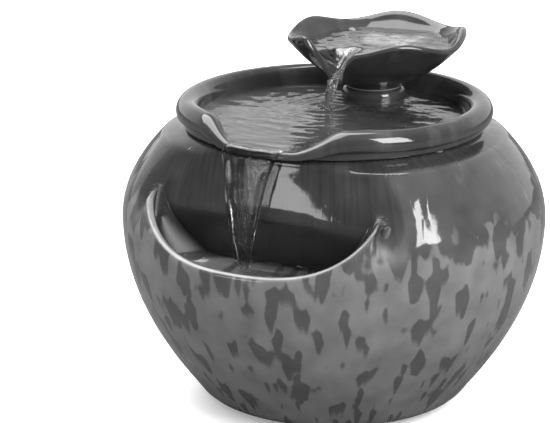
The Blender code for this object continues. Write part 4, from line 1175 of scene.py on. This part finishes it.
falling_water = water_finish("Falling water", 0.25, 0.62)
spout_path = [(76.5 * MM, SPOUT_CREST + 0.45 * MM), (79.4 * MM, SPOUT_CREST + 0.4 * MM),
              (81.5 * MM, SPOUT_CREST - 0.4 * MM), (82.7 * MM, SPOUT_CREST - 2.4 * MM), (83.5 * MM, 140 * MM),
              (84.6 * MM, 124 * MM), (85.6 * MM, 107 * MM), (FALL_RADIUS, POT_LEVEL - 1 * MM)]
sheet = fall_piece("spout_fall", spout_path, lambda t: radians(-15 + 8.5 * t ** 1.6),
                   lambda t: radians(8.9 - 11.3 * t ** 0.6), 0.5 * MM, 2.2 * MM, falling_water)
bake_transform(sheet)

froth = water_finish("Frothy water", 0.8, 0.8)
leaf_path = [(27 * MM, NOTCH_LIP + 3 * MM), (30.5 * MM, NOTCH_LIP + 1 * MM),
             (33.2 * MM, NOTCH_LIP - 1 * MM), (35 * MM, NOTCH_LIP - 6 * MM), (36.4 * MM, TRAY_LEVEL - 1 * MM)]
notch_fall = fall_piece("notch_fall", leaf_path, lambda t: NOTCH_ANGLE - radians(5.5 - 1.5 * t),
                        lambda t: NOTCH_ANGLE + radians(5.5 - 2 * t), 1.6 * MM, 2.0 * MM, froth, 12, 12)
notch_fall.data.transform(Matrix.Translation((0, AXIS_Y, 0)))
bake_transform(notch_fall)


# Froth: bubbles that float where each fall lands, most of them close to it. Real ones are thin shells of
# water, and these are small balls of it.
def bubble_rule():
    """Small balls scattered over a disc, each a different size."""
    tree, given = new_rule("Bubbles", (
        ("Density", 1.0), ("Smallest", 0.3 * MM), ("Largest", 1 * MM), ("Seed", 1.0)))
    spots = put(tree, "GeometryNodeDistributePointsOnFaces", Mesh=given["Geometry"],
                Density=given["Density"], Seed=given["Seed"])
    ball = put(tree, "GeometryNodeMeshIcoSphere", Radius=1.0, Subdivisions=3)
    size = put(tree, "FunctionNodeRandomValue", Seed=plus(tree, given["Seed"], 1))
    tree.links.new(given["Smallest"], size.inputs[2])
    tree.links.new(given["Largest"], size.inputs[3])
    balls = put(tree, "GeometryNodeInstanceOnPoints", Points=spots.outputs["Points"],
                Instance=ball.outputs[0])
    tree.links.new(size.outputs[1], balls.inputs["Scale"])
    end_rule(tree, balls.outputs[0], given)
    return tree


def froth_patch(name, centre, reach, count, largest, seed, body):
    """Bubbles over a round patch of water, at its level."""
    corners = 24
    turns = [2 * pi * i / corners for i in range(corners)]
    ring = [Vector(centre) + Vector((reach * cos(turn), reach * sin(turn), 0)) for turn in turns]
    patch = add_piece(name, ring, [tuple(range(corners))], froth)
    apply_rule(patch, bubbles, Density=count / (pi * reach ** 2), Smallest=0.25 * MM, Largest=largest,
               Seed=seed, Material=froth)
    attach(patch, body)


bubbles = bubble_rule()
froth_patch("leaf_fall_froth", (*LEAF_FALL, TRAY_LEVEL), 4.5 * MM, 60, 0.95 * MM, 4.0, "tray")
froth_patch("leaf_fall_bubbles", (*LEAF_FALL, TRAY_LEVEL), 10 * MM, 36, 0.6 * MM, 9.0, "tray")
froth_patch("spout_fall_froth", (*SPOUT_LANDING, POT_LEVEL), 4 * MM, 40, 0.7 * MM, 6.0, "pot")


# Small fittings: rubber feet, the cord's gland, silicone pads, sleeve and washer, and the black nozzle.
# All are moulded, so their edges are rounded and their skin has a fine grain.
def moulded_group():
    """A moulded skin: fine grain, a few slow swells of tone, and dust or wear in spots."""
    inputs = (("Grain size", 2000.0), ("Grain", 0.1), ("Wear", 0.1), ("Rough", 0.5))
    outputs = (("Tone", "NodeSocketFloat"), ("Height", "NodeSocketFloat"), ("Roughness", "NodeSocketFloat"))
    group, given, result = new_group("Moulded skin", inputs, outputs)
    place = on_piece(group)
    grain = noise(group, place, given.outputs["Grain size"], 2.0)
    slow = noise(group, place, 90.0, 3.0)
    worn = times(group, ease(group, slow, 0.5, 0.75), given.outputs["Wear"])
    swing = times(group, minus(group, grain, 0.5), given.outputs["Grain"])
    tone = plus(group, 1, times(group, swing, 3), times(group, worn, 3))
    group.links.new(tone, result.inputs["Tone"])
    group.links.new(plus(group, grain, times(group, slow, 0.3)), result.inputs["Height"])
    rough = plus(group, given.outputs["Rough"], worn, times(group, swing, 0.8))
    group.links.new(rough, result.inputs["Roughness"])
    return group


MOULDED = moulded_group()


def moulded_finish(name, colour, rough, grain, grain_size, wear, bump_depth=0.05 * MM, **values):
    material, tree, shader = new_finish(name, **values)
    skin = place_group(tree, MOULDED, Grain_size=grain_size, Grain=grain, Wear=wear, Rough=rough)
    shades = put(tree, "ShaderNodeVectorMath", operation="SCALE", Scale=skin["Tone"])
    shades.inputs[0].default_value = colour
    coat(tree, shader, shades.outputs[0], skin["Roughness"], skin["Height"], 0.5, bump_depth)
    return material


BODY_OF = {node: body for body, nodes in frame["record"]["behaviour"]["bodies"].items() for node in nodes}


def stand_in(obj, node):
    """A finished piece takes a node's place and body."""
    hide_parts(node)
    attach(obj, BODY_OF[node])


def refine(node, material, rounding):
    """A finer copy of a node, with round faces smooth and sharp edges rounded."""
    mesh = frame["nodes"][node].data.copy()
    mesh.materials.clear()
    mesh.materials.append(material)
    obj = show("finished_" + node, mesh)
    if rounding:
        edges = obj.modifiers.new("Rounded edges", "BEVEL")
        edges.width = rounding
        edges.segments = 2
        edges.limit_method = "ANGLE"
        edges.angle_limit = radians(40)
        settle(obj)
    smooth_shade(obj.data)
    stand_in(obj, node)


rubber = moulded_finish("Black rubber", (0.02, 0.02, 0.02), 0.65, 0.25, 2600.0, 0.15)
silicone = moulded_finish("Milky silicone", (0.24, 0.24, 0.24), 0.38, 0.06, 1500.0, 0.03,
                          Transmission_Weight=0.35)
black_plastic = moulded_finish("Black moulded plastic", (0.016, 0.016, 0.017), 0.38, 0.22, 3200.0, 0.06)
for node in ("foot_pad_1", "foot_pad_2", "foot_pad_3", "foot_pad_4", "cord_grommet"):
    refine(node, rubber, 0.35 * MM)
for node in ("tray_bumper_1", "tray_bumper_2", "tray_bumper_3", "nozzle_sleeve", "leaf_seal_ring"):
    refine(node, silicone, 0.12 * MM)
refine("nozzle", black_plastic, 0.3 * MM)


# Riser tube: clear flexible hose with a faint haze, pushed over the pump's outlet and the nozzle.
def hose_finish():
    material, tree, shader = new_finish("Clear hose", IOR=1.45, Transmission_Weight=0.9)
    skin = place_group(tree, MOULDED, Grain_size=700.0, Grain=0.05, Wear=0.05, Rough=0.12)
    coat(tree, shader, times(tree, skin["Tone"], 0.8), skin["Roughness"], skin["Height"], 0.3, 0.1 * MM)
    return material


refine("riser_tube", hose_finish(), 0)


# Pump case: the motor case, the impeller chamber, the slotted cover and the slider are moulded in black
# plastic. The case is closed at the back with poured epoxy, and stands on four rubber cups.
for node in ("pump_housing", "pump_volute", "pump_cover", "flow_slider"):
    refine(node, black_plastic, 0.35 * MM)
for i in range(4):
    refine(f"suction_cup_{i + 1}", rubber, 0.2 * MM)
for node in ("pump_cord_gland", "volute_gasket", "shaft_bush_front", "shaft_bush_rear"):
    refine(node, rubber, 0.1 * MM)
epoxy = moulded_finish("Poured epoxy", (0.02, 0.02, 0.02), 0.16, 0.04, 300.0, 0.1, 0.3 * MM)
refine("motor_potting_plate", epoxy, 0.4 * MM)


# Motor: stamped steel sheets stacked into a core that straddles the rotor's well, and enamelled copper
# wire wound on a nylon spool on its yoke.
SHEET = 0.5 * MM
SHEET_GAP = 0.04 * MM
WIRE_RADIUS = 0.24 * MM
CORE_LEG = 6 * MM
YOKE_DEPTH = 5 * MM


def stack_rule():
    """Copies of one sheet along Y, each a hair out of line with the next."""
    tree, given = new_rule("Sheet stack", (
        ("Sheets", 28.0), ("Pitch", 0.5 * MM), ("Play", 0.05 * MM), ("Seed", 4.0)))
    step = put(tree, "ShaderNodeCombineXYZ", Y=given["Pitch"])
    line = put(tree, "GeometryNodeMeshLine", Count=given["Sheets"], Offset=step.outputs[0])
    shift = put(tree, "FunctionNodeRandomValue", data_type="FLOAT_VECTOR", Seed=given["Seed"])
    shift.inputs[0].default_value = (-1, 0, -1)
    shift.inputs[1].default_value = (1, 0, 1)
    shaken = put(tree, "ShaderNodeVectorMath", operation="SCALE", Scale=given["Play"])
    tree.links.new(shift.outputs[0], shaken.inputs[0])
    placed = put(tree, "GeometryNodeSetPosition", Geometry=line.outputs[0], Offset=shaken.outputs[0])
    stack = put(tree, "GeometryNodeInstanceOnPoints", Points=placed.outputs[0], Instance=given["Geometry"])
    end_rule(tree, stack.outputs[0], given)
    return tree


def winding_rule():
    """One layer of round wire, wound side by side round a box with rounded corners."""
    tree, given = new_rule("Wire layer", (
        ("Turns", 34.0), ("Start", 0.0), ("Pitch", 0.49 * MM), ("Wire radius", WIRE_RADIUS),
        ("Middle Y", 0.0), ("Middle Z", 0.0), ("Half Y", 9.4 * MM), ("Half Z", 5.4 * MM)))
    per_turn = 48
    count = times(tree, given["Turns"], per_turn)
    line = put(tree, "GeometryNodeMeshLine", Count=count)
    turn = calc(tree, "DIVIDE", put(tree, "GeometryNodeInputIndex").outputs[0], per_turn)
    angle = times(tree, turn, 2 * pi)
    sides = []
    for wave, half, middle in (("COSINE", "Half Y", "Middle Y"), ("SINE", "Half Z", "Middle Z")):
        swing = calc(tree, wave, angle)
        flat = calc(tree, "POWER", calc(tree, "ABSOLUTE", swing), 0.28)
        swing = times(tree, calc(tree, "SIGN", swing), flat)
        sides.append(plus(tree, times(tree, swing, given[half]), given[middle]))
    along = plus(tree, given["Start"], times(tree, turn, given["Pitch"]))
    place = put(tree, "ShaderNodeCombineXYZ", X=along, Y=sides[0], Z=sides[1])
    wound = put(tree, "GeometryNodeSetPosition", Geometry=line.outputs[0], Position=place.outputs[0])
    wire = put(tree, "GeometryNodeMeshToCurve", Mesh=wound.outputs[0])
    ring = put(tree, "GeometryNodeCurvePrimitiveCircle", Resolution=8, Radius=given["Wire radius"])
    swept = put(tree, "GeometryNodeCurveToMesh", Curve=wire.outputs[0], Profile_Curve=ring.outputs[0])
    swept.inputs["Fill Caps"].default_value = True
    both = put(tree, "GeometryNodeJoinGeometry")
    tree.links.new(swept.outputs[0], both.inputs[0])
    tree.links.new(given["Geometry"], both.inputs[0])
    end_rule(tree, both.outputs[0], given)
    return tree


def metal_finish(name, colour, rough, grain_size):
    return moulded_finish(name, colour, rough, 0.2, grain_size, 0.1, 0.02 * MM, Metallic=1.0)


core_steel = metal_finish("Stamped steel", (0.36, 0.36, 0.37), 0.34, 1800.0)
copper = metal_finish("Enamelled copper", (0.42, 0.19, 0.09), 0.26, 900.0)
core_low, core_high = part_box("stator_core")
left_leg, right_leg = core_low.x + CORE_LEG, core_high.x - CORE_LEG
yoke = core_high.z - YOKE_DEPTH
outline = [(core_low.x, core_low.z), (left_leg, core_low.z), (left_leg, yoke), (right_leg, yoke),
           (right_leg, core_low.z), (core_high.x, core_low.z), (core_high.x, core_high.z),
           (core_low.x, core_high.z)]
ends = (core_low.y, core_low.y + SHEET - SHEET_GAP)
corners = len(outline)
sheet_faces = [tuple(range(corners)), tuple(range(corners, 2 * corners))]
sheet_faces += [(i, (i + 1) % corners, corners + (i + 1) % corners, corners + i) for i in range(corners)]
stack = add_piece("core_sheets", [(x, y, z) for y in ends for x, z in outline], sheet_faces, core_steel)
apply_rule(stack, stack_rule(), Sheets=(core_high.y - core_low.y) / SHEET, Pitch=SHEET, Play=0.04 * MM,
           Seed=4.0, Material=core_steel)
stack.data.set_sharp_from_angle(angle=radians(CREASE))
stand_in(stack, "stator_core")

coil_low, coil_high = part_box("coil_winding")
coil_middle = (coil_low + coil_high) / 2
coil_half = (coil_high - coil_low) / 2
coil = show("coil_turns", frame["nodes"]["coil_winding"].data.copy())
turns = int((2 * coil_half.x - 2 * WIRE_RADIUS) / (2 * WIRE_RADIUS))
apply_rule(coil, winding_rule(), Turns=float(turns), Start=coil_low.x + WIRE_RADIUS, Pitch=2 * WIRE_RADIUS,
           Middle_Y=coil_middle.y, Middle_Z=coil_middle.z, Half_Y=coil_half.y - 0.1 * MM,
           Half_Z=coil_half.z - 0.1 * MM, Material=copper)
stand_in(coil, "coil_winding")
nylon = moulded_finish("Natural nylon", (0.6, 0.59, 0.56), 0.42, 0.05, 1500.0, 0.04)
refine("coil_bobbin", nylon, 0.2 * MM)


# Rotor: the impeller and its sleeve are moulded in pale plastic, with a sintered ferrite magnet. They
# turn on a polished ceramic pin.
impeller_plastic = moulded_finish("Impeller plastic", (0.5, 0.5, 0.48), 0.36, 0.06, 1800.0, 0.05)
ferrite = moulded_finish("Sintered ferrite", (0.045, 0.045, 0.048), 0.55, 0.5, 1500.0, 0.2)
pin_ceramic = moulded_finish("Polished ceramic", (0.78, 0.78, 0.76), 0.12, 0.03, 2500.0, 0.02)
refine("impeller", impeller_plastic, 0.15 * MM)
refine("rotor_magnet", ferrite, 0.25 * MM)
refine("impeller_shaft", pin_ceramic, 0.12 * MM)


# Intake filter: a disc of open-cell foam behind the cover's slots.
def foam_finish():
    material, tree, shader = new_finish("Open-cell foam", Specular_IOR_Level=0.2)
    place = on_piece(tree)
    cells = put(tree, "ShaderNodeTexVoronoi", Vector=place, Scale=1100.0).outputs["Distance"]
    pores = ease(tree, cells, 0.25, 0.6)
    # The pore centres are painted darker, as painted shade inside the holes
    black = between(tree, pores, 0.004, 0.05)
    coat(tree, shader, black, between(tree, pores, 1.0, 0.8), pores, 0.9, 0.6 * MM)
    return material


refine("filter_sponge", foam_finish(), 0.4 * MM)
